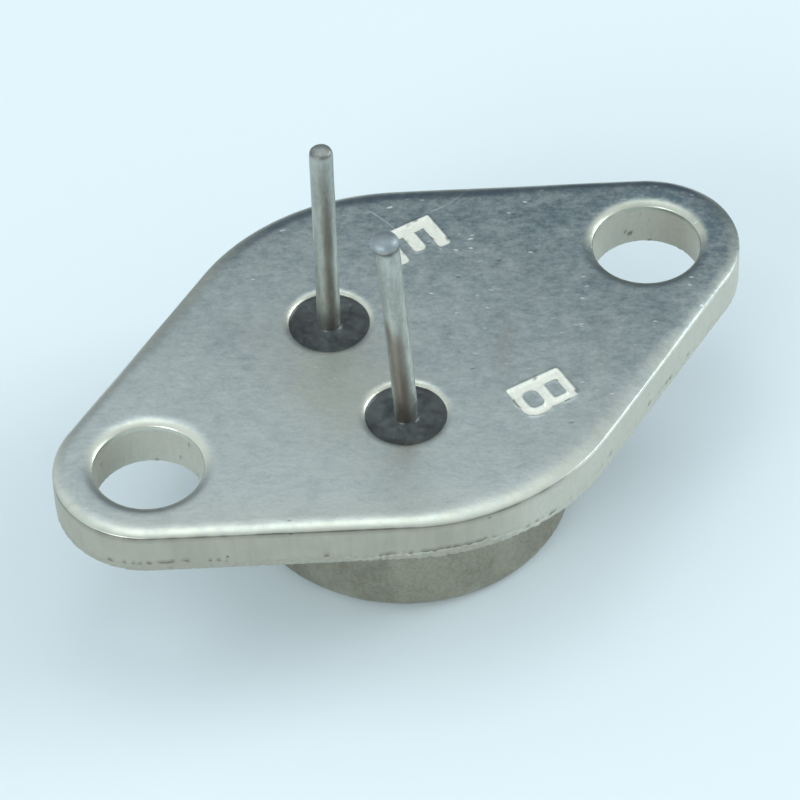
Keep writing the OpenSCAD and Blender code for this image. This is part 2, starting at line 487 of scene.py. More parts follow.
def build_piece(
    name: str,
    patches: Sequence[Patch],
    finish: Material,
    node: str,
    crease_deg: float = 40.0,
) -> Object:
    """Makes one object from its patches, welded where they meet, in place of a CAD node.

    Args:
        name: The object's name.
        patches: Its surfaces.
        finish: Its material.
        node: The CAD node that it stands for.
        crease_deg: Edges sharper than this stay sharp.

    Returns:
        The object.
    """
    starts = np.cumsum([0] + [len(p.points) for p in patches])
    points = np.concatenate([p.points for p in patches]) * MM
    faces = [
        face
        for patch, start in zip(patches, starts)
        for block in patch.faces
        for face in (block + start).tolist()
    ]
    made = add_mesh(name, points, faces, finish)
    mesh = made.data
    used = {m for p in patches for m in p.masks}
    for mask in sorted(used, key=lambda m: m.value):
        values = np.concatenate([p.masks.get(mask, np.zeros(len(p.points))) for p in patches])
        layer = mesh.attributes.new(mask.value, "FLOAT", "POINT")
        layer.data.foreach_set("value", values.astype(np.float32))
    weld(mesh)
    mesh.shade_smooth()
    mesh.set_sharp_from_angle(angle=math.radians(crease_deg))
    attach(made, "root")
    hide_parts(node)
    return made


def report(piece: Object) -> None:
    """Writes a piece's name and the counts of its mesh to the log."""
    mesh = piece.data
    LOG.info("%s: %d vertices, %d faces", piece.name, len(mesh.vertices), len(mesh.polygons))


def weld(mesh: bpy.types.Mesh, gap: float = 5e-7) -> None:
    """Joins vertices that meet, and drops the faces that this flattens.

    Args:
        mesh: The mesh that is changed.
        gap: How far apart such vertices may be, in metres.
    """
    work = bmesh.new()
    work.from_mesh(mesh)
    bmesh.ops.remove_doubles(work, verts=work.verts, dist=gap)
    work.to_mesh(mesh)
    work.free()


def ripple(way: Array, waves: tuple[int, int], fall: float, seed: int) -> Array:
    """A rough line that closes on itself, with a spread of 1.

    It is a sum of sines with a whole number of waves in each turn. A sine of k waves has the
    height k to the power of minus fall, and a start chosen by the seed.

    Args:
        way: Place along the line, from 0 to 1.
        waves: The fewest and the most waves in a turn.
        fall: How fast finer waves weaken.
        seed: Picks the line.

    Returns:
        The line's height at each place.
    """
    counts = np.arange(waves[0], waves[1] + 1)
    starts = np.random.default_rng(seed).uniform(0, 2 * np.pi, len(counts))
    heights = counts.astype(float) ** -fall
    line = np.sin(2 * np.pi * np.multiply.outer(way, counts) + starts) @ heights
    return line / line.std()


def lumps(
    across: Array, along: Array, waves: tuple[int, int], seed: int, count: int = 48
) -> Array:
    """A rough sheet that closes on itself across, with a spread of about 1.

    It is a sum of plane waves. Each has a whole number of waves across, any number along, and
    a start, all chosen by the seed.

    Args:
        across: Place across the sheet, from 0 to 1, as an array that fits with along.
        along: Place along the sheet.
        waves: The fewest and the most waves across.
        seed: Picks the sheet.
        count: How many waves are added.

    Returns:
        The sheet's height.
    """
    pick = np.random.default_rng(seed)
    k = pick.integers(waves[0], waves[1] + 1, count)
    m = pick.uniform(-waves[1], waves[1], count)
    start = pick.uniform(0, 2 * np.pi, count)
    a, b = np.broadcast_arrays(across, along)
    phase = 2 * np.pi * (np.multiply.outer(a, k) + np.multiply.outer(b, m)) + start
    return np.sin(phase).sum(axis=-1) * math.sqrt(2.0 / count)


def revolve(radius: Array, height: Array, centre: Spot, columns: int) -> Array:
    """Turns a profile about an upright axis.

    The point at row r and turn a is the centre plus radius(r) times (cos a, sin a), at
    height(r).

    Args:
        radius: Rows, or rows by columns.
        height: Rows, or rows by columns.
        centre: The axis's x and y.
        columns: Points round one turn.

    Returns:
        Rows by columns by 3.
    """
    turn = np.arange(columns) * 2 * np.pi / columns
    r = radius if radius.ndim > 1 else radius[:, None]
    z = height if height.ndim > 1 else height[:, None]
    r, z, turn = np.broadcast_arrays(r, z, turn)
    return np.stack([centre[0] + r * np.cos(turn), centre[1] + r * np.sin(turn), z], axis=-1)


def rolled_edge(
    wide: Array, high: Array, nose_r: Array | float, rows: int = 14, nose_rows: int = 7
) -> tuple[Array, Array]:
    """The profile that a punch leaves at the edge of sheet.

    At the inset i the drop is high times ((wide - i) / wide)^3, so the slope grows to
    3 high / wide. There a nose of radius nose_r turns on to upright: with t the tilt of the
    surface, its inset is nose_r (1 - sin t), and it falls by nose_r times the change of cos t.

    Args:
        wide: Width of the roll in each column.
        high: Its drop in each column, without the nose.
        nose_r: The nose's radius, in each column where it is an array.
        rows: Points down the slope.
        nose_rows: Points round the nose, with the slope's last.

    Returns:
        Insets from the wall and heights from the face, each rows by columns.
    """
    tilt = np.arctan(3 * high / wide)
    start = nose_r * (1 - np.sin(tilt))
    inset = start + np.linspace(1.0, 0.0, rows)[:, None] * (wide - start)
    z = -high * ((wide - inset) / wide) ** 3
    turn = tilt + np.linspace(0.0, 1.0, nose_rows)[1:, None] * (np.pi / 2 - tilt)
    nose = (nose_r * (1 - np.sin(turn)), z[-1] - nose_r * (np.cos(tilt) - np.cos(turn)))
    return np.concatenate([inset, nose[0]]), np.concatenate([z, nose[1]])


def smooth(value: Array, low: float, high: float) -> Array:
    """A smooth step: 0 at low, 1 at high, and 3t^2 - 2t^3 of the share t between."""
    t = np.clip((value - low) / (high - low), 0.0, 1.0)
    return t * t * (3 - 2 * t)


def carry(path: Array, forward: Array, side: Array, radius: Array, columns: int) -> Array:
    """Carries a circle along a path.

    The point at row r and turn a is path(r) plus radius(r) times (cos a times side plus sin a
    times the cross product of forward(r) and side).

    Args:
        path: The circle's middle in each row, n by 3.
        forward: The path's direction in each row, n by 3.
        side: One direction square to the whole path.
        radius: Rows, or rows by columns.
        columns: Points round the circle.

    Returns:
        Rows by columns by 3.
    """
    turn = np.arange(columns) * 2 * np.pi / columns
    r = radius if radius.ndim > 1 else radius[:, None]
    other = np.cross(forward, side)
    rings = np.cos(turn)[:, None] * side + np.sin(turn)[:, None] * other[:, None, :]
    return path[:, None, :] + r[..., None] * rings


def arc(centre: Spot, radius: float, start: float, end: float, count: int) -> Array:
    """Count points of an arc: centre + radius (cos a, sin a), for a from start to end degrees."""
    turn = np.radians(np.linspace(start, end, count))
    return np.column_stack([centre[0] + radius * np.cos(turn), centre[1] + radius * np.sin(turn)])


# ----------------------------------- sizes


@dataclass(frozen=True)
class Layout:
    """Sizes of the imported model, in millimetres."""

    hole_x: float
    hole_r: float
    end_r: float
    waist_r: float
    plate_t: float
    seal_r: float
    seal_top: float
    emitter: Spot
    base: Spot
    lead_r: float
    tip_z: float
    tip_round: float
    plated_z: float
    base_wall: float
    head_z: float
    head_r: float
    lean: tuple[float, float, float]
    flange_r: float
    can_r: float
    can_z: float

    @classmethod
    def from_frame(cls, frame: Mapping[str, Any]) -> Layout:
        """Reads the sizes from the nodes' boxes and the record's mounts.


        Returns:
            The sizes.
        """
        mounts = {m["name"]: m for m in frame["record"]["mounts"]}
        hole = mounts["mount_hole_far_from_leads"]
        hole_x = hole["pos_m"][0] / MM
        pin = mounts["emitter_pin"]
        pin_mid, pin_half = pin["pos_m"][2] / MM, pin["dims"]["length_mm"] / 2
        low, high = cls._box("header_plate")
        glass_low, glass_high = cls._box("emitter_seal_glass")
        glass_mid = (glass_low + glass_high) / 2
        base_mid = sum(cls._box("base_seal_glass"), Vector()) / 2
        lead_low, lead_high = cls._box("emitter_lead")
        can_low, can_high = cls._box("can")
        verts = frame["nodes"]["can"].data.vertices
        coords = np.empty(len(verts) * 3, np.float32)
        verts.foreach_get("co", coords)
        points = coords.reshape(-1, 3) / MM
        side = points[points[:, 2] < (can_low.z + can_high.z) / 2]
        return cls(
            hole_x=hole_x,
            hole_r=hole["dims"]["r_mm"],
            end_r=high.x - hole_x,
            waist_r=high.y,
            plate_t=-low.z,
            seal_r=glass_high.x - glass_mid.x,
            seal_top=glass_high.z,
            emitter=(glass_mid.x, glass_mid.y),
            base=(base_mid.x, base_mid.y),
            lead_r=pin["dims"]["r_mm"],
            tip_z=lead_high.z,
            tip_round=lead_high.z - pin_mid - pin_half,
            plated_z=pin_mid - pin_half,
            base_wall=mounts["base_pin"]["dims"]["length_mm"],
            head_z=lead_low.z,
            head_r=(lead_high.x - lead_low.x) / 2,
            lean=tuple(mounts["base_pin"]["axis"]),
            flange_r=can_high.x,
            can_r=float(np.hypot(side[:, 0], side[:, 1]).max()),
            can_z=can_low.z,
        )

    @property
    def side_turn(self) -> float:
        """The angle from +Y of the outward normal of the plate's straight sides, in radians."""
        return math.asin((self.waist_r - self.end_r) / self.hole_x)

    @staticmethod
    def _box(node: str) -> tuple[Vector, Vector]:
        """The lowest and highest corner of a CAD node, in millimetres."""
        low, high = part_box(node)
        return low / MM, high / MM


# ----------------------------------- finishes


@dataclass(frozen=True)
class SatinNickel:
    """Dull nickel plate on the blanked steel plate, rubbed bright on its rolled edge, where
    painted highlights also lie.

    A scratch is given by its circle's x, y and radius, and the x at its two ends.
    """

    layout: Layout
    fresh: Colour = (0.620, 0.672, 0.668)
    dull: Colour = (0.162, 0.216, 0.246)
    # Rubbed metal, also used as painted highlight on the plate's edges and as a painted sheen on
    # the face.
    rubbed_and_highlight: Colour = (0.72, 0.72, 0.605)
    # Frosted struck metal, also used as painted light on walls and bores.
    frosted_and_lit: Colour = (0.86, 0.85, 0.76)
    sheared: Colour = (0.425, 0.415, 0.350)
    torn: Colour = (0.36, 0.35, 0.29)
    stain: Colour = (0.30, 0.265, 0.235)
    warm: Colour = (0.50, 0.50, 0.42)
    # Painted dark reflection on rims that tilt away from the camera.
    blued: Colour = (0.12, 0.16, 0.21)
    nick: Colour = (0.86, 0.92, 0.92)
    # Dark dirt, also used for painted shade.
    grime_and_shade: Colour = (0.07, 0.065, 0.05)
    scratches: tuple[tuple[float, ...], ...] = (
        (4.6, 8.3, 3.1, 4.2, 6.6),
        (-2.0, 4.6, 4.83, 2.3, 3.0),
    )
    scratch_w: float = 0.055

    def material(self) -> Material:
        """Tarnish in clouds and fine streaks on the face, and a warm grey sheared edge.

        Returns:
            The material.
        """
        g = Graph.of_material("satin_nickel")
        here = g.place()
        rub, torn = g.mask(Mask.RUB), g.mask(Mask.TORN)
        soil, stamp = g.mask(Mask.SOIL), g.mask(Mask.STAMP)
        wall = g.mask(Mask.WALL)
        mottle = g.noise(here, 0.9, 8.0, 0.72, 0.3)
        grain = g.noise(here, 7.0, 4.0, 0.7)
        streaks = g.noise(g.place(30.0, (1.0 / 1.9, 1.0, 1.0)), 4.2, 4.0, 0.65)
        upright = g.noise(g.place(0.0, (1.0, 1.0, 0.15)), 4.0, 4.0, 0.6)

        face, marks, dulled = self._face(g, mottle, grain, streaks)
        side = self._side(g, upright)
        skin = g.blend(wall, face, side)
        ragged = g.noise(here, 5.0, 5.0, 0.7)
        broken = g.blend(ragged.rise(0.3, 0.7), self.torn, self.sheared)
        skin = g.blend(torn * 0.7, skin, broken)
        # Painted dark reflection: dark blue on the far rolled edge and on the near rims of the
        # mount holes.
        skin = g.blend(g.mask(Mask.BLUED) * (0.15 + mottle), skin, self.blued)
        # Rubbed wear and painted highlights on the rolled edges and hole rims, with a painted
        # light line along the far nose.
        skin = g.blend(rub * (0.25 + mottle * 0.8), skin, self.rubbed_and_highlight)
        # Frosted letter floors, and painted light that lightens the right-facing walls and the
        # bores.
        struck = g.blend(grain.rise(0.35, 0.75) * 0.6, self.frosted_and_lit, self.fresh)
        skin = g.blend(stamp, skin, struck)
        # Real pits and dirt, and painted shade: the dark line under the rolled edge, the break of
        # the torn foot and the letters' walls.
        skin = g.blend(soil, skin, self.grime_and_shade)

        bare = 1.0 - (wall * 0.45).at_least(stamp * 0.75)
        rough = 0.36 + dulled * 0.05 + (mottle - 0.5) * 0.14 + (streaks - 0.5) * 0.10
        rough = rough + torn * 0.08 + stamp * 0.12 + wall * 0.06 - rub * 0.05
        waves = g.bump(g.noise(here, 0.3, 2.0, 0.5), 0.04)
        fine = g.bump(grain * 0.6 + streaks * 0.6 + upright * wall * 0.5, 0.007, waves)
        coarse = g.bump(ragged * torn, 0.03, fine)
        return g.finish(
            Base_Color=skin,
            Metallic=bare,
            Roughness=rough.at_least(0.22),
            Normal=g.bump(1.0 - marks, 0.008, coarse),
        )

    def _face(
        self, g: Graph, mottle: Signal, grain: Signal, streaks: Signal
    ) -> tuple[Signal, Signal, Signal]:
        """The seating face, which is duller and darker towards the far right, with a painted sheen
        along the near edge.

        Args:
            g: The material's tree.
            mottle: Coarse noise.
            grain: Fine noise.
            streaks: Noise drawn out one way.

        Returns:
            The colour, the marks and how dull it is.
        """
        x, y, _ = g.axes()
        here = g.place()
        clouds = g.noise(here, 0.17, 2.0, 0.5)
        spread = (x + y * 0.9).rise(-10.0, 18.0)
        ragged = (mottle - 0.5) * 1.4 + (clouds - 0.5) * 0.4
        ragged = ragged + (grain - 0.5) * 0.75 + (streaks - 0.5) * 1.2
        dulled = 0.08 + spread * 0.86 + ragged * (0.54 + spread * 0.42)
        skin = g.blend(dulled, self.fresh, self.dull)
        brown = g.noise(g.place(25.0, (1.0, 0.45, 1.0)), 0.45, 4.0, 0.6, 0.8).rise(0.58, 0.76)
        skin = g.blend(brown * 0.3, skin, self.stain)
        seals = (self.layout.emitter, self.layout.base)
        mid_x, mid_y = (sum(spot) / 2 for spot in zip(*seals))
        across, along = x - mid_x + 1.0, y - mid_y
        way = (across * across + along * along * 0.4).root()
        handled = (way + (mottle - 0.5) * 5.0).rise(3.4, 0.6)
        skin = g.blend(handled * 0.45, skin, self.warm)
        turn = self.layout.side_turn
        side = x.size() * math.sin(turn) - self.layout.waist_r
        # Painted sheen: a pale band in the rubbed colour along the near edge, fading out towards
        # the right.
        near = (y * math.cos(turn) - side + (clouds - 0.5)).rise(2.1, 0.2)
        skin = g.blend(near * x.rise(6.0, 0.0) * 0.20, skin, self.rubbed_and_highlight)
        nicks = g.dashes(-40.0, 3.9, 2.0, 0.22, 0.20)
        nicks = nicks.at_least(g.dashes(-14.0, 2.9, 2.2, 0.19, 0.16))
        nicks = nicks * g.noise(here, 0.5, 2.0).rise(0.38, 0.58) * (0.1 + spread) * (0.5 + streaks)
        nicks = nicks.at_least(self._hairlines(x, y) * (mottle * 1.4 - 0.35))
        pits = g.dashes(-25.0, 2.4, 1.8, 0.17, 0.09) * g.noise(here, 0.7, 1.0).rise(0.45, 0.60)
        smears = g.noise(g.place(28.0, (0.5, 1.0, 1.0)), 1.5, 5.0, 0.7, 0.6).rise(0.63, 0.75)
        smears = smears * g.noise(here, 0.33, 1.0).rise(0.52, 0.62)
        skin = g.blend(nicks * 0.8, skin, self.nick)
        skin = g.blend((pits * 0.5).at_least(smears * 0.35), skin, self.grime_and_shade)
        return skin, nicks + pits, dulled

    def _hairlines(self, x: Signal, y: Signal) -> Signal:
        """Two fine curved scratches near the emitter's letter, each a short piece of a circle.

        Args:
            x: The point's x.
            y: The point's y.

        Returns:
            The scratches, 1 in their middle.
        """
        lines = []
        for cx, cy, radius, low, high in self.scratches:
            away = ((x - cx) * (x - cx) + (y - cy) * (y - cy)).root() - radius
            part = x.rise(low, low + 0.3) * x.rise(high, high - 0.3) * y.rise(4.4, 4.9)
            lines.append(away.size().rise(self.scratch_w, 0.0) * part)
        return lines[0].at_least(lines[1])

    def _side(self, g: Graph, upright: Signal) -> Signal:
        """The sheared edge and bores: warm grey with upright streaks and a few dark pits.

        Args:
            g: The material's tree.
            upright: Noise drawn out upwards.

        Returns:
            The colour.
        """
        here = g.place()
        patch = g.noise(here, 0.7, 4.0, 0.6, 0.4)
        side = g.blend((upright * 0.5 + patch * 0.6).rise(0.35, 0.8), self.sheared, self.torn)
        pits = g.specks(here, 1.1, 0.12, 0.22).at_least(g.specks(here, 2.3, 0.16, 0.10))
        return g.blend(pits * 0.7, side, self.grime_and_shade)


@dataclass(frozen=True)
class DrawnSteel:
    """Dull nickel on the drawn can, with lines from the drawing die and brown stains."""

    layout: Layout
    fresh: Colour = (0.380, 0.360, 0.288)
    dull: Colour = (0.232, 0.221, 0.172)
    stain: Colour = (0.22, 0.165, 0.10)
    rubbed_and_highlight: Colour = (0.62, 0.60, 0.52)

    def material(self) -> Material:
        """Upright die lines on the side, cloudy dullness, and rubbed places on the end.

        Returns:
            The material.
        """
        g = Graph.of_material("drawn_steel")
        x, y, z = g.axes()
        here = g.place()
        drawn = g.noise(g.place(0.0, (1.0, 1.0, 0.08)), 3.5, 5.0, 0.65)
        clouds = g.noise(here, 0.5, 5.0, 0.6, 0.4)
        grain = g.noise(here, 8.0, 4.0, 0.7)
        shade = (clouds * 0.80 + drawn * 0.16 + (grain - 0.5) * 0.6).rise(0.25, 0.72)
        skin = g.blend(shade, self.fresh, self.dull)
        stains = g.noise(g.place(60.0), 0.7, 5.0, 0.65, 1.0).rise(0.56, 0.74)
        skin = g.blend(stains * 0.35, skin, self.stain)
        up = z - self.layout.can_z
        flat = up.rise(0.10, 0.04)
        lines = g.dashes(35.0, 1.6, 9.0, 0.05, 0.4)
        lines = lines.at_least(g.dashes(-50.0, 1.4, 12.0, 0.04, 0.4))
        skin = g.blend(lines * flat * 0.4, skin, self.rubbed_and_highlight)
        inset = self.layout.can_r - (x * x + y * y).root()
        edge = inset.rise(1.15, 0.55) * up.rise(0.9, 0.2) * g.noise(here, 0.9, 3.0).rise(0.45, 0.7)
        skin = g.blend(edge * 0.35, skin, self.rubbed_and_highlight)
        rough = 0.42 + (clouds - 0.5) * 0.2 + stains * 0.12
        fine = g.bump(grain * 0.6 + drawn * (1.0 - flat), 0.006)
        return g.finish(
            Base_Color=skin,
            Metallic=0.8,
            Roughness=rough.at_least(0.25),
            Normal=g.bump(1.0 - lines * flat, 0.005, fine),
        )


@dataclass(frozen=True)
class LeadWire:
    """Nickel-plated wire, browned and smeared towards the glass, with a painted dark reflection
    and painted shade.
    """

    fresh: Colour = (0.53, 0.55, 0.51)
    streak: Colour = (0.35, 0.365, 0.335)
    # Brown, also used for the painted dark reflection up the side facing the camera.
    brown: Colour = (0.24, 0.195, 0.165)
    blued: Colour = (0.28, 0.325, 0.365)
    # Painted shade for the ring at a lead's end.
    shade_ring: Colour = (0.085, 0.08, 0.075)

    def material(self) -> Material:
        """Long streaks along the wire, a brown foot, a brown stain with a painted dark reflection
        up the side that faces the camera, bluish cut ends, and painted shade in a ring at each
        end.

        Returns:
            The material.
        """
        g = Graph.of_material("lead_wire")
        _, _, z = g.axes()
        here = g.place()
        drawn = g.noise(g.place(0.0, (1.0, 1.0, 0.07)), 3.0, 4.0, 0.65)
        patch = g.noise(g.place(0.0, (1.0, 1.0, 0.35)), 1.1, 4.0, 0.6, 0.5)
        grain = g.noise(g.place(0.0, (1.0, 1.0, 0.5)), 6.0, 4.0, 0.7)
        shade = drawn * 0.6 + patch * 0.6 + (grain - 0.5) * 0.7
        skin = g.blend(shade.rise(0.42, 0.85), self.fresh, self.streak)
        foot = (z + (patch - 0.5) * 4.0).rise(3.0, 0.2) * drawn.rise(0.34, 0.60) * 0.25
        # A brown stain and painted dark reflection up the side that faces the camera.
        foot = foot.at_least(g.mask(Mask.SOIL) * (0.84 + drawn * 0.84))
        skin = g.blend(foot * 0.78, skin, self.brown)
        flecks = g.specks(here, 1.6, 0.14, 0.3) * patch.rise(0.45, 0.58)
        skin = g.blend(flecks * 0.5, skin, self.streak)
        capped = g.mask(Mask.BLUED)
        skin = g.blend(capped * 0.8, skin, self.blued)
        # Painted shade: a dark ring at the rounding of the emitter's end and under the base lead's
        # cap.
        skin = g.blend(g.mask(Mask.TORN) * (0.6 + grain * 0.5), skin, self.shade_ring)
        rough = 0.47 + (patch - 0.5) * 0.2 + capped * 0.05
        fine = g.bump(drawn * 0.8 + grain * 0.5, 0.008)
        return g.finish(Base_Color=skin, Metallic=1.0, Roughness=rough.at_least(0.25), Normal=fine)


@dataclass(frozen=True)
class SealGlassFinish:
    """Dark sealing glass, full of small grey inclusions and bubbles."""

    deep: Colour = (0.026, 0.032, 0.034)
    grey: Colour = (0.070, 0.084, 0.086)
    fleck: Colour = (0.26, 0.29, 0.29)

    def material(self) -> Material:
        """Mottled slate grey with pale flecks and burst bubbles, under a glassy skin.

        Returns:
            The material.
        """
        g = Graph.of_material("seal_glass")
        here = g.place()
        mottle = g.noise(here, 1.3, 6.0, 0.66, 0.3)
        skin = g.blend(mottle.rise(0.34, 0.72), self.deep, self.grey)
        flecks = g.specks(here, 3.2, 0.14, 0.3) * mottle.rise(0.4, 0.6)
        skin = g.blend(flecks * 0.6, skin, self.fleck)
        bubbles = g.specks(g.place(30.0), 2.3, 0.2, 0.25)
        skin = g.blend(bubbles * 0.6, skin, self.deep)
        rough = 0.30 + (mottle - 0.5) * 0.3
        fine = g.bump(mottle * 0.6 + (1.0 - bubbles), 0.012)
        return g.finish(Base_Color=skin, Roughness=rough.at_least(0.15), IOR=1.52, Normal=fine)


@dataclass(frozen=True)
class InnerMetal:
    """A clean metal inside the can, with cloudy shade and fine lines."""

    name: str
    light: Colour
    dark: Colour
    rough: float = 0.35
    lines_deg: float = 0.0

    def material(self) -> Material:
        """Two shades in clouds, crossed by faint lines.

        Returns:
            The material.
        """
        g = Graph.of_material(self.name)
        here = g.place()
        clouds = g.noise(here, 1.3, 5.0, 0.6, 0.3)
        lines = g.dashes(self.lines_deg, 3.0, 10.0, 0.06, 0.5)
        skin = g.blend(clouds.rise(0.3, 0.75), self.light, self.dark)
        skin = g.blend(lines * 0.2, skin, self.dark)
        rough = self.rough + (clouds - 0.5) * 0.2
        return g.finish(
            Base_Color=skin,
            Metallic=1.0,
            Roughness=rough.at_least(0.12),
            Normal=g.bump(clouds * 0.5 - lines * 0.3, 0.004),
        )


@dataclass(frozen=True)
class Silicon:
    """Polished silicon, blue-grey, with the faint cloud of its oxide."""

    bare: Colour = (0.16, 0.17, 0.20)
    oxide: Colour = (0.10, 0.14, 0.24)

    def material(self) -> Material:
        """A near mirror with a drifting blue tint.

        Returns:
            The material.
        """
        g = Graph.of_material("silicon")
        tint = g.noise(g.place(), 0.6, 3.0, 0.5, 0.5)
        skin = g.blend(tint.rise(0.3, 0.7), self.bare, self.oxide)
        return g.finish(
            Base_Color=skin, Metallic=0.8, Roughness=0.12 + tint * 0.08, Coat_Weight=0.3
        )


@dataclass(frozen=True)
class Silicone:
    """Amber silicone gel over the chip's edges, with dust and small bubbles."""

    clear: Colour = (0.62, 0.44, 0.18)
    cloudy: Colour = (0.72, 0.58, 0.33)

    def material(self) -> Material:
        """Soft amber that clouds here and there, with small bubbles under a smooth skin.

        Returns:
            The material.
        """
        g = Graph.of_material("silicone")
        here = g.place()
        cloud = g.noise(here, 1.8, 4.0, 0.6, 0.4)
        bubbles = g.specks(here, 5.0, 0.22)
        skin = g.blend(cloud.rise(0.3, 0.7), self.clear, self.cloudy)
        return g.finish(
            Base_Color=g.blend(bubbles * 0.4, skin, self.cloudy),
            Roughness=0.22 + cloud * 0.12,
            IOR=1.41,
            Transmission_Weight=0.35,
            Normal=g.bump(bubbles, 0.006),
        )


# ----------------------------------- sub-assemblies


@dataclass(frozen=True)
class Bar:
    """A box with rounded corners in a letter: left, right, foot and top, in millimetres."""

    left: float
    right: float
    foot: float
    top: float
    corner: float

    def away(self, across: Array, up: Array) -> Array:
        """How far each point is outside the bar, less than 0 inside.

        The distance to a box is the length of the parts of the way past its sides that are
        above 0, plus the larger part where both are below 0. Rounding shrinks the box by the
        corner's radius and takes that radius off again.

        Args:
            across: The points' places from left to right.
            up: Their places from foot to top.

        Returns:
            The distance of each point.
        """
        dx = np.abs(across - (self.left + self.right) / 2)
        dy = np.abs(up - (self.foot + self.top) / 2)
        dx = dx - (self.right - self.left) / 2 + self.corner
        dy = dy - (self.top - self.foot) / 2 + self.corner
        outside = np.hypot(np.maximum(dx, 0), np.maximum(dy, 0))
        return outside + np.minimum(np.maximum(dx, dy), 0) - self.corner


class Terminal(Enum):
    """The letters stamped beside the leads, drawn upright with 0 at their left and foot."""

    EMITTER = (
        (
            Bar(0.0, 0.45, 0.0, 2.04, 0.05),
            Bar(0.0, 1.55, 1.63, 2.04, 0.12),
            Bar(0.2, 1.33, 0.80, 1.20, 0.14),
            Bar(0.0, 1.58, 0.0, 0.38, 0.12),
        ),
        (),
    )
    BASE = (
        (
            Bar(0.04, 0.42, 0.05, 2.03, 0.07),
            Bar(0.04, 1.45, 0.96, 2.03, 0.16),
            Bar(0.04, 1.53, 0.05, 1.16, 0.44),
        ),
        (Bar(0.42, 1.21, 1.22, 1.78, 0.12), Bar(0.42, 1.27, 0.30, 0.93, 0.26)),
    )

    def away(self, across: Array, up: Array) -> Array:
        """How far each point is outside the letter's strokes, less than 0 inside.

        Args:
            across: The points' places from left to right.
            up: Their places from foot to top.

        Returns:
            The distance of each point.
        """
        bars, counters = self.value
        stroke = np.minimum.reduce([bar.away(across, up) for bar in bars])
        return np.maximum.reduce([stroke] + [-c.away(across, up) for c in counters])


@dataclass
class StampedLetter:
    """One letter, struck into the seating face with a flat-ended punch.

    Left is the Y of its left side, foot the X of its foot, and wide and tall the room it takes.
    """

    letter: Terminal
    left: float
    foot: float
    seed: int
    wide: float = 1.66
    tall: float = 2.14
    depth: float = 0.06
    wall: float = 0.08
    burr: float = 0.008
    margin: float = 0.14
    step: float = 0.024

    def build(self) -> tuple[Patch, Array]:
        """Makes the letter's patch of the seating face.

        The letter's foot is towards -X and its left side towards +Y. The face sinks by the
        depth times a smooth step of the way in from the stroke's edge, and stands up beside
        the stroke by the burr times a bell curve of the way out. Both shrink to 0 at the
        patch's border, which is flat. Painted shade lies in places along the strokes' walls.

        Returns:
            The patch, and the x and y of its border's points in order.
        """
        across = np.arange(-self.margin, self.wide + self.margin, self.step)
        up = np.arange(-self.margin, self.tall + self.margin, self.step)
        x, y = self.foot + up, self.left - across
        u, v = np.meshgrid(across, up)
        away = self.letter.away(u, v)
        inside = smooth(-away, -0.03, self.wall)
        struck = smooth(-away, -0.045, 0.0)
        shake = lumps(v / 3.0, u / 3.0, (1, 7), self.seed)
        rim = self.burr * (1 + 0.4 * shake) * np.exp(-(((away - 0.04) / 0.06) ** 2))
        border = np.minimum.reduce([u - across[0], across[-1] - u, v - up[0], up[-1] - v])
        calm = smooth(border, 0.0, 0.08)
        z = calm * (rim - self.depth * inside * (1 + 0.05 * shake))
        grid_x, grid_y = np.meshgrid(x, y, indexing="ij")
        points = np.stack([grid_x, grid_y, z], axis=-1)
        # Painted shade in places along the strokes' walls.
        stroke_shade = 0.85 * np.exp(-((away / 0.05) ** 2)) * smooth(shake, 0.8, 1.9)
        masks = {Mask.STAMP: struck * calm, Mask.SOIL: stroke_shade * calm}
        patch = Patch.from_grid(points, masks, round_trip=False)
        square = points[..., :2]
        sides = [square[:-1, 0], square[-1, :-1], square[:0:-1, -1], square[0, :0:-1]]
        return patch, np.concatenate(sides)


@dataclass(frozen=True)
class Outline:
    """Points evenly spaced round the plate, with their outward normals."""

    points: Array
    normals: Array

    @property
    def way(self) -> Array:
        """The place of each point round the outline, from 0 to 1."""
        return np.arange(len(self.points)) / len(self.points)

    @property
    def waist(self) -> Array:
        """How far each point belongs to the near waist, where the torn foot is roughest.

        Returns:
            1 along that waist and 0 elsewhere.
        """
        along = self.points @ WAIST_WAY
        stretch = smooth(along, -2.4, -0.8) * (1 - smooth(along, 4.4, 6.0))
        return stretch * (self.normals[:, 1] < 0)

    def looks(self, axis: int, low: float, high: float) -> Array:
        """How far the outline looks along an axis: a smooth step of that part of its normals."""
        return smooth(self.normals[:, axis], low, high)


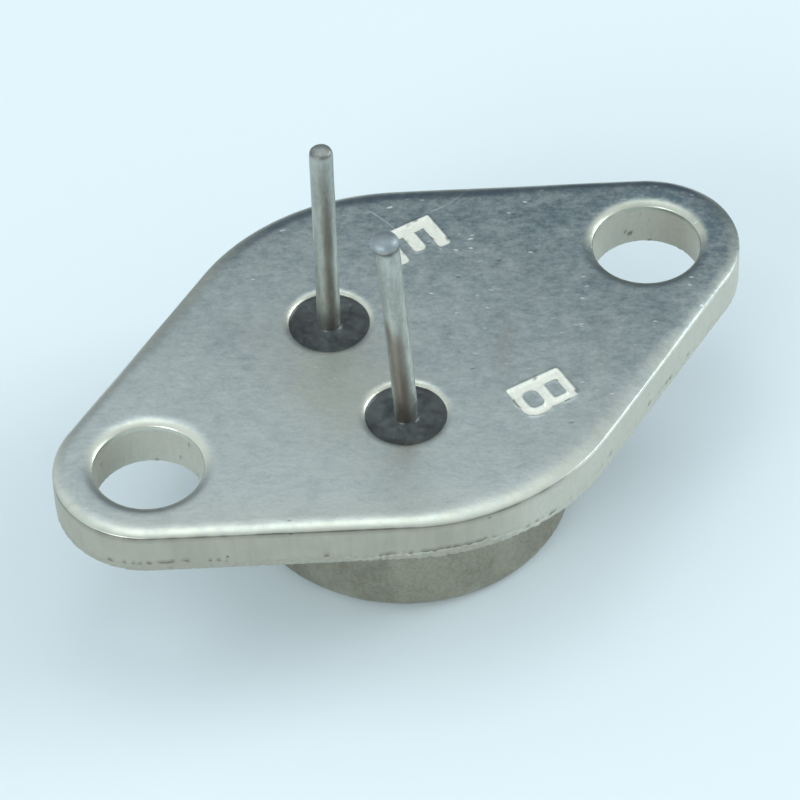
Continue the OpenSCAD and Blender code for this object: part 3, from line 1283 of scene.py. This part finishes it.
@dataclass
class HeaderPlate:
    """The diamond plate: rolled edge, sheared side, torn foot, holes and stamped letters."""

    layout: Layout
    columns: int = 1240
    hole_columns: int = 192
    wall_rows: int = 12
    roll_w: float = 0.66
    roll_h: float = 0.13
    near_swell: float = 0.42
    far_swell: float = 0.32
    nose_r: float = 0.05
    far_nose: float = 0.10
    hole_nose: float = 0.04
    groove: float = 0.03
    groove_h: float = 0.10
    torn_h: float = 0.48
    torn_range: Spot = (0.24, 0.95)
    torn_set: float = 0.03
    foot_r: float = 0.12
    foot_w: float = 0.5
    inner_rim: float = 0.10
    hole_roll: Spot = (0.58, 0.14)
    hole_torn: float = 0.02
    seal_roll: Spot = (0.32, 0.09)

    def outline(self) -> Outline:
        """The plate's outline from +X towards +Y.

        In one quarter it is an arc of radius end_r about the hole, a straight and an arc of
        radius waist_r about the origin, tangent to each other. With s the way along it, the
        normal's angle is s / end_r on the first arc, stays on the straight, and grows by
        s / waist_r on the last arc. The other quarters are mirror images.

        Returns:
            The outline.
        """
        size = self.layout
        slope = size.side_turn
        bend = math.pi / 2 - slope
        first = size.end_r * bend
        straight = size.hole_x * math.cos(slope)
        quarter = first + straight + size.waist_r * slope
        turn = np.arange(self.columns) * 4.0 / self.columns
        part = np.floor(turn).astype(int)
        share = turn - part
        s = quarter * np.where(part % 2 == 0, share, 1.0 - share)
        angle = np.minimum(s / size.end_r, bend)
        angle = angle + np.maximum(s - first - straight, 0.0) / size.waist_r
        normal = np.column_stack([np.cos(angle), np.sin(angle)])
        along = np.clip(s - first, 0.0, straight)[:, None]
        tangent = np.array([-math.sin(bend), math.cos(bend)])
        on_end = np.array([size.hole_x, 0.0]) + size.end_r * normal + along * tangent
        points = np.where((s > first + straight)[:, None], size.waist_r * normal, on_end)
        signs = np.array([[1, 1], [-1, 1], [-1, -1], [1, -1]])[part]
        return Outline(points * signs, normal * signs)

    def edge(self) -> tuple[Patch, Array, Array]:
        """The plate's edge, from the seating face to the inner face.

        Bands of insets and heights are carried round the outline. The rolled edge drops ever
        faster and ends in a small nose, with a groove below it. The sheared side is nearly
        flat. The torn foot starts at a ragged line, draws in, and ends in a small round.

        Returns:
            The edge, and the x and y of its upper and its lower rim.
        """
        rim, thick = self.outline(), self.layout.plate_t
        way, waist, far = rim.way, rim.waist, rim.looks(1, 0.1, 0.8)
        middle = 1.0 - smooth(np.abs(rim.points[:, 0]), 5.5, 9.5)
        near_right = smooth(rim.normals @ NEAR_RIGHT, 0.5, 1.0)
        wide = self.roll_w + middle * self.near_swell * near_right + middle * self.far_swell * far
        wide = wide * (1 + 0.025 * ripple(way, (2, 9), 0.5, 3))
        high = self.roll_h * (1 + 0.05 * ripple(way, (3, 16), 0.6, 4)) * (1 + 0.35 * far)
        tear = self.torn_h + 0.14 * np.tanh(ripple(way, (2, 12), 0.4, 5))
        tear = tear + 0.03 * ripple(way, (12, 300), 0.8, 6) - 0.14 * waist
        tear = np.clip(tear, *self.torn_range) - thick

        roll = rolled_edge(wide, high, self.nose_r + self.far_nose * far)
        high = -roll[1][-1]
        lip = np.array([0.014, 0.034, 0.058, 0.078])[:, None]
        under = (np.array([0.6, 1.0, 1.0, 0.25])[:, None] * self.groove, -high - lip)
        down = np.linspace(0.0, 1.0, 8)[1:, None]
        side_z = -high - self.groove_h + down * (tear + high + self.groove_h)
        side = (0.004 + 0.003 * lumps(way, side_z / 60.0, (6, 90), 7), side_z)
        foot_z = self.foot_r - thick
        drop = np.array([0.0, 0.04, 0.12, 0.25, 0.4, 0.55, 0.7, 0.85, 1.0])[:, None]
        torn_z = tear - 0.02 + drop * (foot_z - tear + 0.02)
        rough = lumps(way, torn_z / 60.0, (40, 320), 8)
        depth = (0.006 + 0.010 * waist) * smooth(drop, 0, 0.2)
        torn = (self.torn_set * (0.3 + 0.7 * drop) + depth * (rough + waist), torn_z)
        turn = np.linspace(0.0, np.pi / 2, 5)[1:, None]
        foot = (
            torn[0][-1] + self.foot_r * (1 - np.cos(turn)),
            foot_z - self.foot_r * np.sin(turn),
        )
        last = (np.array([[self.foot_w]]), np.array([[-thick]]))
        bands = (roll, under, side, torn, foot, last)
        inset, z = (
            np.concatenate([np.broadcast_to(b[i], (len(b[1]), self.columns)) for b in bands])
            for i in (0, 1)
        )
        grid = rim.points - np.maximum(inset, 0.0)[..., None] * rim.normals
        masks = self._edge_masks(z, rim, high, tear, len(roll[1]))
        patch = Patch.from_grid(np.concatenate([grid, z[..., None]], axis=-1), masks, flip=True)
        return patch, grid[0], grid[-1]

    def _edge_masks(
        self, z: Array, rim: Outline, high: Array, tear: Array, roll_rows: int
    ) -> dict[Mask, Array]:
        """Where the edge is rubbed, sheared, torn and soiled, and where painted highlights,
        painted dark reflections and painted shade lie on it.

        Args:
            z: Heights of the edge's points, rows by columns.
            rim: The plate's outline.
            high: Drop of the rolled edge in each column.
            tear: Height at which the torn foot starts in each column.
            roll_rows: Rows that belong to the rolled edge.

        Returns:
            Each mask, rows by columns.
        """
        way, waist = rim.way, rim.waist
        rows = np.arange(len(z))[:, None]
        rolled = np.where(rows < roll_rows, np.clip(-z / high, 0, 1), 0.0)
        far, left = rim.looks(1, -0.25, 0.4), smooth(-rim.normals[:, 0], 0.1, 0.5)
        patchy = 0.75 + 0.25 * np.tanh(ripple(way, (8, 260), 0.5, 9))
        # Wear and painted highlights on the rolled edge: strongest on the near left, weaker
        # towards the right, and a painted light line along the far nose.
        wear_and_highlight = smooth(rolled, 0.0, 0.22) * patchy * (1 - 0.9 * far * (1 - 0.6 * left))
        wear_and_highlight = wear_and_highlight * (1 - 0.45 * rim.looks(0, 0.1, 0.45))
        wear_and_highlight = np.maximum(wear_and_highlight, 0.95 * smooth(rolled, 0.27, 0.45) * far)
        # Painted highlight: a bright ridge along the break of the torn foot at the near waist.
        ridge_highlight = np.exp(-(((z - tear + 0.11) / 0.035) ** 2)) * waist
        below = np.maximum(-high - z, 0.0)
        # Painted shade: a dark line just under the rolled edge and darkening down the lower roll,
        # fading on the right-facing edge.
        line = np.exp(-(((below - 0.025) / 0.055) ** 2)) * (rows >= roll_rows - 3)
        line = np.maximum(line, 0.42 * smooth(rolled, 0.3, 1.0))
        line = line * (0.75 + 0.25 * np.tanh(ripple(way, (5, 120), 0.5, 11)))
        line = line * (1 - 0.9 * rim.looks(0, 0.05, 0.35))
        # Painted shade along the break where the torn foot starts.
        break_shade = np.exp(-(((z - tear + 0.03) / 0.045) ** 2))
        gaps = smooth(ripple(way, (6, 260), 0.5, 10) + 1.0 * waist, 0.6, 1.8)
        # Painted dark reflection on the far rolled edge, fading out before the nose.
        blued = smooth(rolled, 0.0, 0.08) * (1 - smooth(rolled, 0.18, 0.36))
        off_back = 1.0 - smooth(-z, self.layout.plate_t - 0.03, self.layout.plate_t)
        on_wall = (rows >= roll_rows) * off_back
        return {
            Mask.RUB: np.maximum(wear_and_highlight, 0.7 * ridge_highlight),
            # Painted light: the right-facing walls are lightened towards the frosted colour.
            Mask.STAMP: 0.34 * rim.looks(0, -0.25, 0.1) * on_wall,
            Mask.WALL: on_wall,
            Mask.TORN: smooth(tear - z, 0.0, 0.03) * off_back,
            Mask.SOIL: np.clip(line + 0.75 * break_shade * gaps, 0, 1),
            Mask.BLUED: blued * rim.looks(1, 0.0, 0.5) * (1 - 0.85 * left),
        }

    def bore(
        self, centre: Spot, radius: float, roll: Spot, torn: float, seed: int
    ) -> tuple[Patch, Array, Array]:
        """The wall of one pierced hole, from the seating face to the inner face.

        A rolled edge turns into a plain wall, which opens out below a ragged line. The last
        row lies in the inner face and has no masks, so none of them runs on into that face.

        Args:
            centre: The hole's x and y.
            radius: The hole's radius.
            roll: Width and height of its rolled upper edge.
            torn: How far the torn foot of the wall opens out, 0 for a seal's hole.
            seed: Picks its roughness.

        Returns:
            The wall, and the x and y of its upper and its lower rim.
        """
        depth, cols, bolted = self.layout.plate_t, self.hole_columns, torn > 0
        way = np.arange(cols) / cols
        nose_r = self.nose_r + self.hole_nose * bolted
        inset, drop = rolled_edge(np.array([roll[0]]), np.array([roll[1]]), nose_r)
        fall = np.linspace(0.0, 1.0, self.wall_rows)[1:, None]
        wall_z = drop[-1] - fall * (depth + drop[-1])
        z = np.concatenate([drop, wall_z, wall_z[-1:]])
        inset = np.concatenate([inset, np.zeros_like(wall_z), [[self.inner_rim]]])
        tear = depth * (0.72 + 0.05 * ripple(way, (2, 60), 0.6, seed))
        opened = smooth(-z, tear - 0.03, tear + 0.05)
        rough = lumps(way, z / 12.0, (3, 60), seed + 1)
        points = revolve(radius + opened * torn * (1 + 0.25 * rough) + inset, z, centre, cols)

        rows, share = np.arange(len(z))[:, None], z / drop[-1]
        on_lip = rows < len(drop)
        on_wall = ~on_lip & (rows < len(z) - 1)
        x, y = np.cos(2 * np.pi * way), np.sin(2 * np.pi * way)
        near = x * NEAR[0] + y * NEAR[1]
        # Painted highlights in the rubbed colour: high on the rim away from the near side, and
        # lower down the roll where lit is high, on the near side of a mount hole and the near
        # right of a seal's hole.
        far_rim_highlight = smooth(share, 0.0, 0.25) * on_lip * (1 - 0.9 * smooth(near, -0.35, 0.35))
        lit = smooth(near, 0.0, 0.5) if bolted else smooth(x * 0.6 - y * 0.8, 0.55, 0.95)
        # Painted dark reflection on the near rim of a mount hole.
        slope = smooth(share, 0.0, 0.15) * (1 - smooth(share, 0.3, 0.6)) * bolted * on_lip
        spots = smooth(lumps(way, z / 12.0, (6, 26), seed + 2), 2.1, 2.6)
        masks = {
            Mask.RUB: np.maximum(far_rim_highlight, 0.8 * (smooth(share, 0.35, 0.7) * on_lip) * lit),
            Mask.WALL: on_wall,
            Mask.TORN: opened * 0.25 * on_wall,
            Mask.SOIL: 0.8 * spots * on_wall,
            # Painted light: the bores' walls are lightened towards the frosted colour.
            Mask.STAMP: 0.36 * on_wall,
            Mask.BLUED: slope * smooth(near, -0.2, 0.6) * 0.5,
        }
        return Patch.from_grid(points, masks), points[0, :, :2], points[-1, :, :2]

    def build(self) -> list[Patch]:
        """All of the plate's surfaces, which meet along their rims.

        Returns:
            The edge, both faces, the bores and the letters.
        """
        size = self.layout
        edge, top, bottom = self.edge()
        bores = [
            self.bore((-size.hole_x, 0.0), size.hole_r, self.hole_roll, self.hole_torn, 20),
            self.bore((size.hole_x, 0.0), size.hole_r, self.hole_roll, self.hole_torn, 30),
            self.bore(size.emitter, size.seal_r, self.seal_roll, 0.0, 40),
            self.bore(size.base, size.seal_r, self.seal_roll, 0.0, 50),
        ]
        letters = [
            StampedLetter(Terminal.EMITTER, 5.11, 2.05, 61).build(),
            StampedLetter(Terminal.BASE, -3.43, 1.97, 62).build(),
        ]
        rims = [top] + [upper for _, upper, _ in bores] + [border for _, border in letters]
        face = Patch.fill(rims, 0.0, True)
        back = Patch.fill([bottom] + [lower for *_, lower in bores], -size.plate_t, False)
        return [edge, face, back] + [wall for wall, *_ in bores] + [patch for patch, _ in letters]

    def dress(self, patches: Sequence[Patch]) -> Object:
        """Makes the plate in its satin nickel."""
        finish = SatinNickel(self.layout).material()
        return build_piece("plate", patches, finish, "header_plate", 30.0)


@dataclass
class Seal:
    """The glass bead round one lead."""

    layout: Layout
    name: str
    centre: Spot
    seed: int
    columns: int = 128
    dish: float = 0.05
    climb: float = 0.09
    edge_climb: float = 0.05

    def build(self) -> list[Patch]:
        """The bead's outer face, inner face and both walls, as one turned profile.

        With s the share of the way from the lead to the hole's wall, each face sinks by the
        dish times sin(pi s) and climbs the lead and the wall by exponentials of the way to
        them. Low lumps lie over it.

        Returns:
            The bead's one closed surface.
        """
        size = self.layout
        inner, outer = size.lead_r - PLATING, size.seal_r
        s = (1 - np.cos(np.linspace(0, np.pi, 40))) / 2
        r = inner + s * (outer - inner)
        way = np.arange(self.columns) / self.columns
        up_lead = self.climb * np.exp(-(r - inner) / 0.07)
        up_wall = self.edge_climb * np.exp(-(outer - r) / 0.05)
        curve = -self.dish * np.sin(np.pi * s) + (up_lead + up_wall)
        rough = 0.008 * lumps(way, r[:, None] / 5.0, (1, 14), self.seed)
        rough = rough * np.sin(np.pi * s)[:, None]
        top = size.seal_top - self.edge_climb + curve[:, None] + rough
        bottom = -size.plate_t - size.seal_top - curve[:, None] * 0.5 - rough
        radius = np.concatenate([r[::-1], r, r[-1:]])
        height = np.concatenate([top[::-1], bottom, top[-1:]])
        return [Patch.from_grid(revolve(radius, height, self.centre, self.columns))]

    def dress(self, patches: Sequence[Patch], finish: Material) -> Object:
        """Makes the bead in its glass."""
        node = f"{self.name}_seal_glass"
        return build_piece(f"{self.name}_glass", patches, finish, node, 50.0)


class Tip(Enum):
    """How a lead's end looks: its radii over the lead's own, with depths below the end."""

    ROUND = (
        (1.0, 0.50), (1.0, 0.30), (0.985, 0.23), (0.955, 0.17), (0.90, 0.115),
        (0.82, 0.075), (0.72, 0.05), (0.58, 0.03), (0.3, 0.01), (0.0, 0.0),
    )
    MUSHROOM = (
        (0.98, 0.80), (0.985, 0.62), (1.00, 0.54), (1.07, 0.475), (1.15, 0.43), (1.205, 0.38),
        (1.22, 0.33), (1.21, 0.27), (1.15, 0.195), (1.04, 0.13), (0.88, 0.075), (0.66, 0.035),
        (0.4, 0.01), (0.0, 0.0),
    )


@dataclass(frozen=True)
class StainAndReflection:
    """A brown stain and painted dark reflection up one side of a lead, the side that faces the
    camera.

    It reaches up to top and fades over the height fade below it. It lies on the side that
    looks along way_deg, counted from +X, and is at half its strength half_deg either side.
    """

    top: float
    fade: float
    way_deg: float
    half_deg: float
    strength: float


@dataclass
class Lead:
    """One lead: bonding head, pin through the glass, shaft and cut end.

    Push is how far the cut end is squashed over, along X and Y.
    """

    layout: Layout
    name: str
    foot: Spot
    tip: Tip
    seed: int
    stain: StainAndReflection
    leans: bool = False
    push: Spot = (0.0, 0.0)
    bend_r: float = 1.5
    head_t: float = 0.3
    head_round: float = 0.03
    columns: int = 72

    @property
    def bend_z(self) -> float:
        """The height at which the bend starts, where the plating has its full thickness."""
        return self.layout.plated_z

    @property
    def length(self) -> float:
        """The lead's length above the seating face, along its bend.

        Returns:
            The length, in millimetres.
        """
        size = self.layout
        if not self.leans:
            return size.tip_z
        bend = self.bend_r * math.atan2(math.hypot(*size.lean[:2]), size.lean[2])
        return self.bend_z + bend + size.base_wall + size.tip_round

    def path(self, way: Array) -> tuple[Array, Array, Array]:
        """The lead's middle line at each length along it, its direction, and a side.

        Up to the bend the line is upright. In the bend it turns by way / bend_r about a
        centre on the side that it leans to, and after it goes straight on.

        Args:
            way: Lengths along the lead, counted as heights below the bend.

        Returns:
            Points, directions, and one direction square to them all.
        """
        lean = np.array(self.layout.lean) if self.leans else np.array([1e-9, 0.0, 1.0])
        across = math.hypot(lean[0], lean[1])
        out = np.array([lean[0] / across, lean[1] / across, 0.0])
        full = math.atan2(across, lean[2])
        past = np.maximum(way - self.bend_z, 0.0)
        turn = np.minimum(past / self.bend_r, full)
        straight = past - turn * self.bend_r
        aside = self.bend_r * (1 - np.cos(turn)) + straight * np.sin(turn)
        up = self.bend_r * np.sin(turn) + straight * np.cos(turn)
        base = np.array([*self.foot, 0.0])
        height = np.minimum(way, self.bend_z) + up
        points = base + aside[:, None] * out + height[:, None] * np.array([0, 0, 1.0])
        forward = np.sin(turn)[:, None] * out + np.cos(turn)[:, None] * np.array([0, 0, 1.0])
        return points, forward, np.array([-out[1], out[0], 0.0])

    def build(self) -> list[Patch]:
        """A circle of changing radius, carried from the bonding head to the cut end.

        Returns:
            The lead's one closed surface.
        """
        size, cut = self.layout, self.head_round
        pin, head_r, head_t = size.lead_r - PLATING, size.head_r, self.head_t
        head = [(0.0, 0.0), (0.45, 0.0), (head_r - cut, 0.0), (head_r, cut)]
        head += [(head_r, head_t - cut), (head_r - cut, head_t), (pin, head_t)]
        low = [(r, size.head_z + h) for r, h in head]
        low += [(pin, z) for z in np.linspace(size.head_z + self.head_t + 0.1, size.seal_top, 8)]
        end = self.length - self.tip.value[0][1] - 0.05
        shaft = np.linspace(size.seal_top, end, 110)[1:]
        flare = np.clip((shaft - size.seal_top) / (self.bend_z - size.seal_top), 0, 1)
        middle = list(zip((pin + PLATING * flare).tolist(), shaft.tolist()))
        tip = [(size.lead_r * r, self.length - drop) for r, drop in self.tip.value]
        rows = np.array(low + middle + tip)
        way = np.arange(self.columns) / self.columns
        z = rows[:, 1:]
        free = smooth(z, 0.3, 0.9)
        radius = rows[:, :1] * (1 + 0.006 * free * lumps(way, z / 14.0, (1, 9), self.seed))
        points, forward, side = self.path(rows[:, 1])
        near_end = smooth(z, self.length - 0.6, self.length - 0.35)
        points[:, :2] += near_end * np.array(self.push)
        grid = carry(points, forward, side, radius, self.columns)
        capped = self.tip is Tip.MUSHROOM
        blued = smooth(z, self.length - 0.34, self.length - 0.22) * (1.0 if capped else 0.3)
        # Painted shade ring: just below a round end, and under a mushroom cap.
        place, wide = (0.42, 0.11) if capped else (0.10, 0.07)
        shade_ring = 0.8 * np.exp(-(((z - self.length + place) / wide) ** 2))
        # Brown stain with a painted dark reflection on the side that faces the camera.
        brown = self._browned_and_reflection(grid, points, z, way)
        masks = {Mask.BLUED: blued, Mask.TORN: shade_ring, Mask.SOIL: brown}
        return [Patch.from_grid(grid, masks, flip=True)]

    def _browned_and_reflection(self, grid: Array, points: Array, z: Array, way: Array) -> Array:
        """The strength of the stain and painted dark reflection, with a ragged border and a ragged
        upper end.

        Args:
            grid: The lead's points, rows by columns by 3.
            points: The lead's middle in each row.
            z: The length along the lead of each row.
            way: The place of each column round the lead, from 0 to 1.

        Returns:
            The strength, rows by columns.
        """
        out = grid[..., :2] - points[:, None, :2]
        out = out / np.maximum(np.linalg.norm(out, axis=-1, keepdims=True), 1e-9)
        turn = math.radians(self.stain.way_deg)
        facing = out @ np.array([math.cos(turn), math.sin(turn)])
        ragged = lumps(way, z / 9.0, (1, 5), self.seed + 3)
        half = math.cos(math.radians(self.stain.half_deg))
        streak = smooth(facing + 0.03 * ragged, 2 * half - 1, 1.0)
        top = smooth(-z + 0.3 * ragged, -self.stain.top, self.stain.fade - self.stain.top)
        return streak * top * self.stain.strength

    def dress(self, patches: Sequence[Patch], finish: Material) -> Object:
        """Makes the lead in its wire."""
        node = f"{self.name}_lead"
        return build_piece(f"{self.name}_pin", patches, finish, node, 35.0)


@dataclass
class Can:
    """The drawn can with its welded flange."""

    layout: Layout
    wall: float = 0.35
    corner_r: float = 0.7
    root_r: float = 0.25
    lip_r: float = 0.08
    columns: int = 320

    def build(self) -> list[Patch]:
        """The outer and the inner surface, each a turned profile that ends on the axis.

        Heights are depths below the plate. Faint upright waves from the drawing die lie in
        the side, and the end sinks by the way in towards the axis, squared.

        Returns:
            Both surfaces, which meet on the flange's seat.
        """
        size = self.layout
        top, depth = -size.plate_t, -size.plate_t - size.can_z
        r, flange, t = size.can_r, size.flange_r, self.wall
        lip, bend, root = self.lip_r, self.corner_r, self.root_r + t
        corner = (r - bend, depth - bend)
        seat = [[flange - 0.12, 0.0]]
        outer = np.concatenate([
            seat,
            arc((flange - lip, lip), lip, -90, 0, 5),
            arc((flange - lip, t - lip), lip, 0, 90, 5),
            [[flange - 0.3, t]],
            arc((r + self.root_r, root), self.root_r, -90, -180, 9),
            np.linspace((r, 0.75), (r, corner[1] - 0.1), 22),
            arc(corner, bend, 0, 90, 17),
            np.linspace((corner[0] - 0.25, depth), (0.0, depth), 18),
        ])
        inner = np.concatenate([
            np.linspace((0.0, depth - t), (corner[0], depth - t), 8),
            arc(corner, bend - t, 90, 0, 7)[1:],
            np.linspace((r - t, 3.5), (r - t, root + 0.1), 6),
            arc((r - t + root, root), root, 180, 270, 8),
            seat,
        ])
        way = np.arange(self.columns) / self.columns
        patches = []
        for profile, shaken in ((outer, 1.0), (inner, 0.0)):
            out, down = profile[:, :1], profile[:, 1:]
            on_side = smooth(down, t + 0.1, t + 0.5) * smooth(out, 0.5, r - 0.3) * shaken
            waves = 0.006 * ripple(way, (2, 5), 0.5, 71) + 0.003 * ripple(way, (20, 140), 0.3, 72)
            radius = out - on_side * (0.012 + waves)
            sunk = 0.05 * shaken * (down > depth - 1e-6) * (1 - (out / (r - 0.4)) ** 2)
            height = top - down + np.maximum(sunk, 0.0)
            grid = revolve(radius, height, (0.0, 0.0), self.columns)
            patches.append(Patch.from_grid(grid, flip=True))
        return patches

    def dress(self, patches: Sequence[Patch]) -> Object:
        """Makes the can in its drawn steel."""
        finish = DrawnSteel(self.layout).material()
        return build_piece("can_shell", patches, finish, "can", 35.0)


@dataclass
class InnerParts:
    """The chip, its mounting and its wires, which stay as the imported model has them."""

    nodes: Mapping[str, Object]

    def dress(self) -> None:
        """Gives each CAD node its finish, in its own material slots."""
        copper = InnerMetal("copper", (0.80, 0.42, 0.28), (0.62, 0.30, 0.19), 0.30, 15.0)
        braze = InnerMetal("braze", (0.74, 0.73, 0.68), (0.58, 0.57, 0.53), 0.32, 50.0)
        solder = InnerMetal("solder", (0.52, 0.52, 0.54), (0.38, 0.38, 0.41), 0.42, 70.0)
        bright = InnerMetal("aluminium", (0.87, 0.87, 0.88), (0.72, 0.73, 0.75), 0.28, 5.0)
        aluminium = bright.material()
        finishes = {
            "spreader_braze": braze.material(),
            "heat_spreader": copper.material(),
            "chip_solder": solder.material(),
            "chip": Silicon().material(),
            "emitter_metal": aluminium,
            "base_metal": aluminium,
            "chip_coating": Silicone().material(),
            "emitter_bond_wire": aluminium,
            "base_bond_wire": aluminium,
        }
        for name, finish in finishes.items():
            node = self.nodes[name]
            if not node.material_slots:
                node.data.materials.append(finish)
            for held in node.material_slots:
                held.material = finish
            LOG.info("%s: dressed in %s", name, finish.name)


# ----------------------------------- studio


@dataclass(frozen=True)
class SoftLamp:
    """A square lamp that faces the object."""

    name: str
    place: tuple[float, float, float]
    size: float
    watts: float
    colour: Colour = (1.0, 1.0, 1.0)

    def hang(self) -> None:
        """Puts the lamp up, turned to the middle of the plate."""
        data = bpy.data.lights.new(self.name, "AREA")
        data.shape, data.size = "SQUARE", self.size
        data.energy, data.color = self.watts, self.colour
        lamp = bpy.data.objects.new(self.name, data)
        lamp.location = self.place
        lamp.rotation_euler = (-Vector(self.place)).to_track_quat("-Z", "Y").to_euler()
        bpy.context.scene.collection.objects.link(lamp)


@dataclass
class Studio:
    """A pale table, soft lamps, a room that is dark low down at the back, and the camera."""

    floor_z: float
    floor_colour: Colour = (0.780, 0.862, 0.915)
    floor_half: float = 3.0
    tint: Colour = (0.90, 0.985, 1.0)
    azimuth: float = -29.308
    elevation: float = 46.512
    roll: float = -2.100
    distance_mm: float = 188.777
    shift_mm: Spot = (-0.0525, -1.646)
    focal_mm: float = 251.568
    sensor_mm: float = 36.0

    def build(self) -> None:
        """Makes the table, the light and the camera."""
        self._table()
        self._room()
        for lamp in (
            SoftLamp("top", (0.03, 0.10, 0.43), 0.18, 0.10, self.tint),
            SoftLamp("right", (0.42, -0.125, 0.225), 0.24, 0.86, self.tint),
            SoftLamp("left", (-0.42, -0.20, 0.25), 0.24, 0.80, self.tint),
        ):
            lamp.hang()
        self._camera()

    def _table(self) -> None:
        """A wide flat sheet under the can, pale and slightly cloudy."""
        side = np.linspace(-self.floor_half, self.floor_half, 9)
        x, y = np.meshgrid(side, side)
        z = np.full_like(x, self.floor_z * MM)
        patch = Patch.from_grid(np.stack([x, y, z], axis=-1), round_trip=False)
        g = Graph.of_material("table_sheet")
        cloud = g.noise(g.place(), 0.02, 3.0, 0.5)
        paper = g.blend(cloud, self.floor_colour, tuple(0.97 * c for c in self.floor_colour))
        finish = g.finish(Base_Color=paper, Roughness=0.7)
        add_mesh("table", patch.points, patch.faces[0].tolist(), finish)

    def _room(self) -> None:
        """Light from above and from the front, weakest low down behind the object."""
        world = bpy.data.worlds.new("room")
        g = Graph(world)
        way = g.node("ShaderNodeTexCoord", output="Generated")
        x, y, z = g.parts(way)
        back = (y * 0.8 + x * 0.6).rise(1.04, 0.34) * 0.78 + 0.22
        front = y.rise(-0.9, 0.1) * 0.40 + 0.60
        ground = z.rise(0.6, 0.0) * y.rise(0.6, -0.5) * 0.40
        light = g.node(
            "ShaderNodeBackground",
            values={"Color": (*self.tint, 1.0), "Strength": (back * front + ground) * 0.95},
        )
        g.node("ShaderNodeOutputWorld", values={"Surface": light}, output=None)
        bpy.context.scene.world = world

    def _camera(self) -> None:
        """Puts the camera where it looks down on the seating face from the near left."""
        az, el, roll = (math.radians(a) for a in (self.azimuth, self.elevation, self.roll))
        back = Vector((math.sin(az) * math.cos(el), -math.cos(az) * math.cos(el), math.sin(el)))
        level = Vector((math.cos(az), math.sin(az), 0.0))
        rise = back.cross(level)
        right = math.cos(roll) * level + math.sin(roll) * rise
        up = -math.sin(roll) * level + math.cos(roll) * rise
        spot = back * self.distance_mm + right * self.shift_mm[0] + up * self.shift_mm[1]
        data = bpy.data.cameras.new("camera")
        data.sensor_width, data.lens = self.sensor_mm, self.focal_mm
        data.clip_start, data.clip_end = 0.01, 20.0
        camera = bpy.data.objects.new("camera", data)
        turn = Matrix((right, up, back)).transposed()
        camera.matrix_world = Matrix.Translation(spot * MM) @ turn.to_4x4()
        bpy.context.scene.collection.objects.link(camera)
        bpy.context.scene.camera = camera


def main() -> None:
    """Builds every sub-assembly in order, then the studio."""
    logging.basicConfig(level=logging.INFO, format="%(name)s: %(message)s")
    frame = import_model()
    layout = Layout.from_frame(frame)
    LOG.info("sizes: %s", layout)

    plate = HeaderPlate(layout)
    report(plate.dress(plate.build()))
    can = Can(layout)
    report(can.dress(can.build()))
    glass, wire = SealGlassFinish().material(), LeadWire().material()
    for seal in (
        Seal(layout, "emitter", layout.emitter, 81),
        Seal(layout, "base", layout.base, 82),
    ):
        report(seal.dress(seal.build(), glass))
    # Brown stains with painted dark reflections, on the side of each lead that faces the camera.
    long = StainAndReflection(top=8.6, fade=4.0, way_deg=248, half_deg=26, strength=0.62)
    short = StainAndReflection(top=5.2, fade=1.6, way_deg=223, half_deg=37, strength=1.0)
    for lead in (
        Lead(layout, "emitter", layout.emitter, Tip.ROUND, 91, long),
        Lead(
            layout, "base", layout.base, Tip.MUSHROOM, 92, short, leans=True, push=(-0.07, 0.04)
        ),
    ):
        report(lead.dress(lead.build(), wire))
    InnerParts(frame["nodes"]).dress()

    Studio(layout.can_z).build()
    bpy.context.scene.view_settings.view_transform = "Standard"


if __name__ == "__main__":
    main()
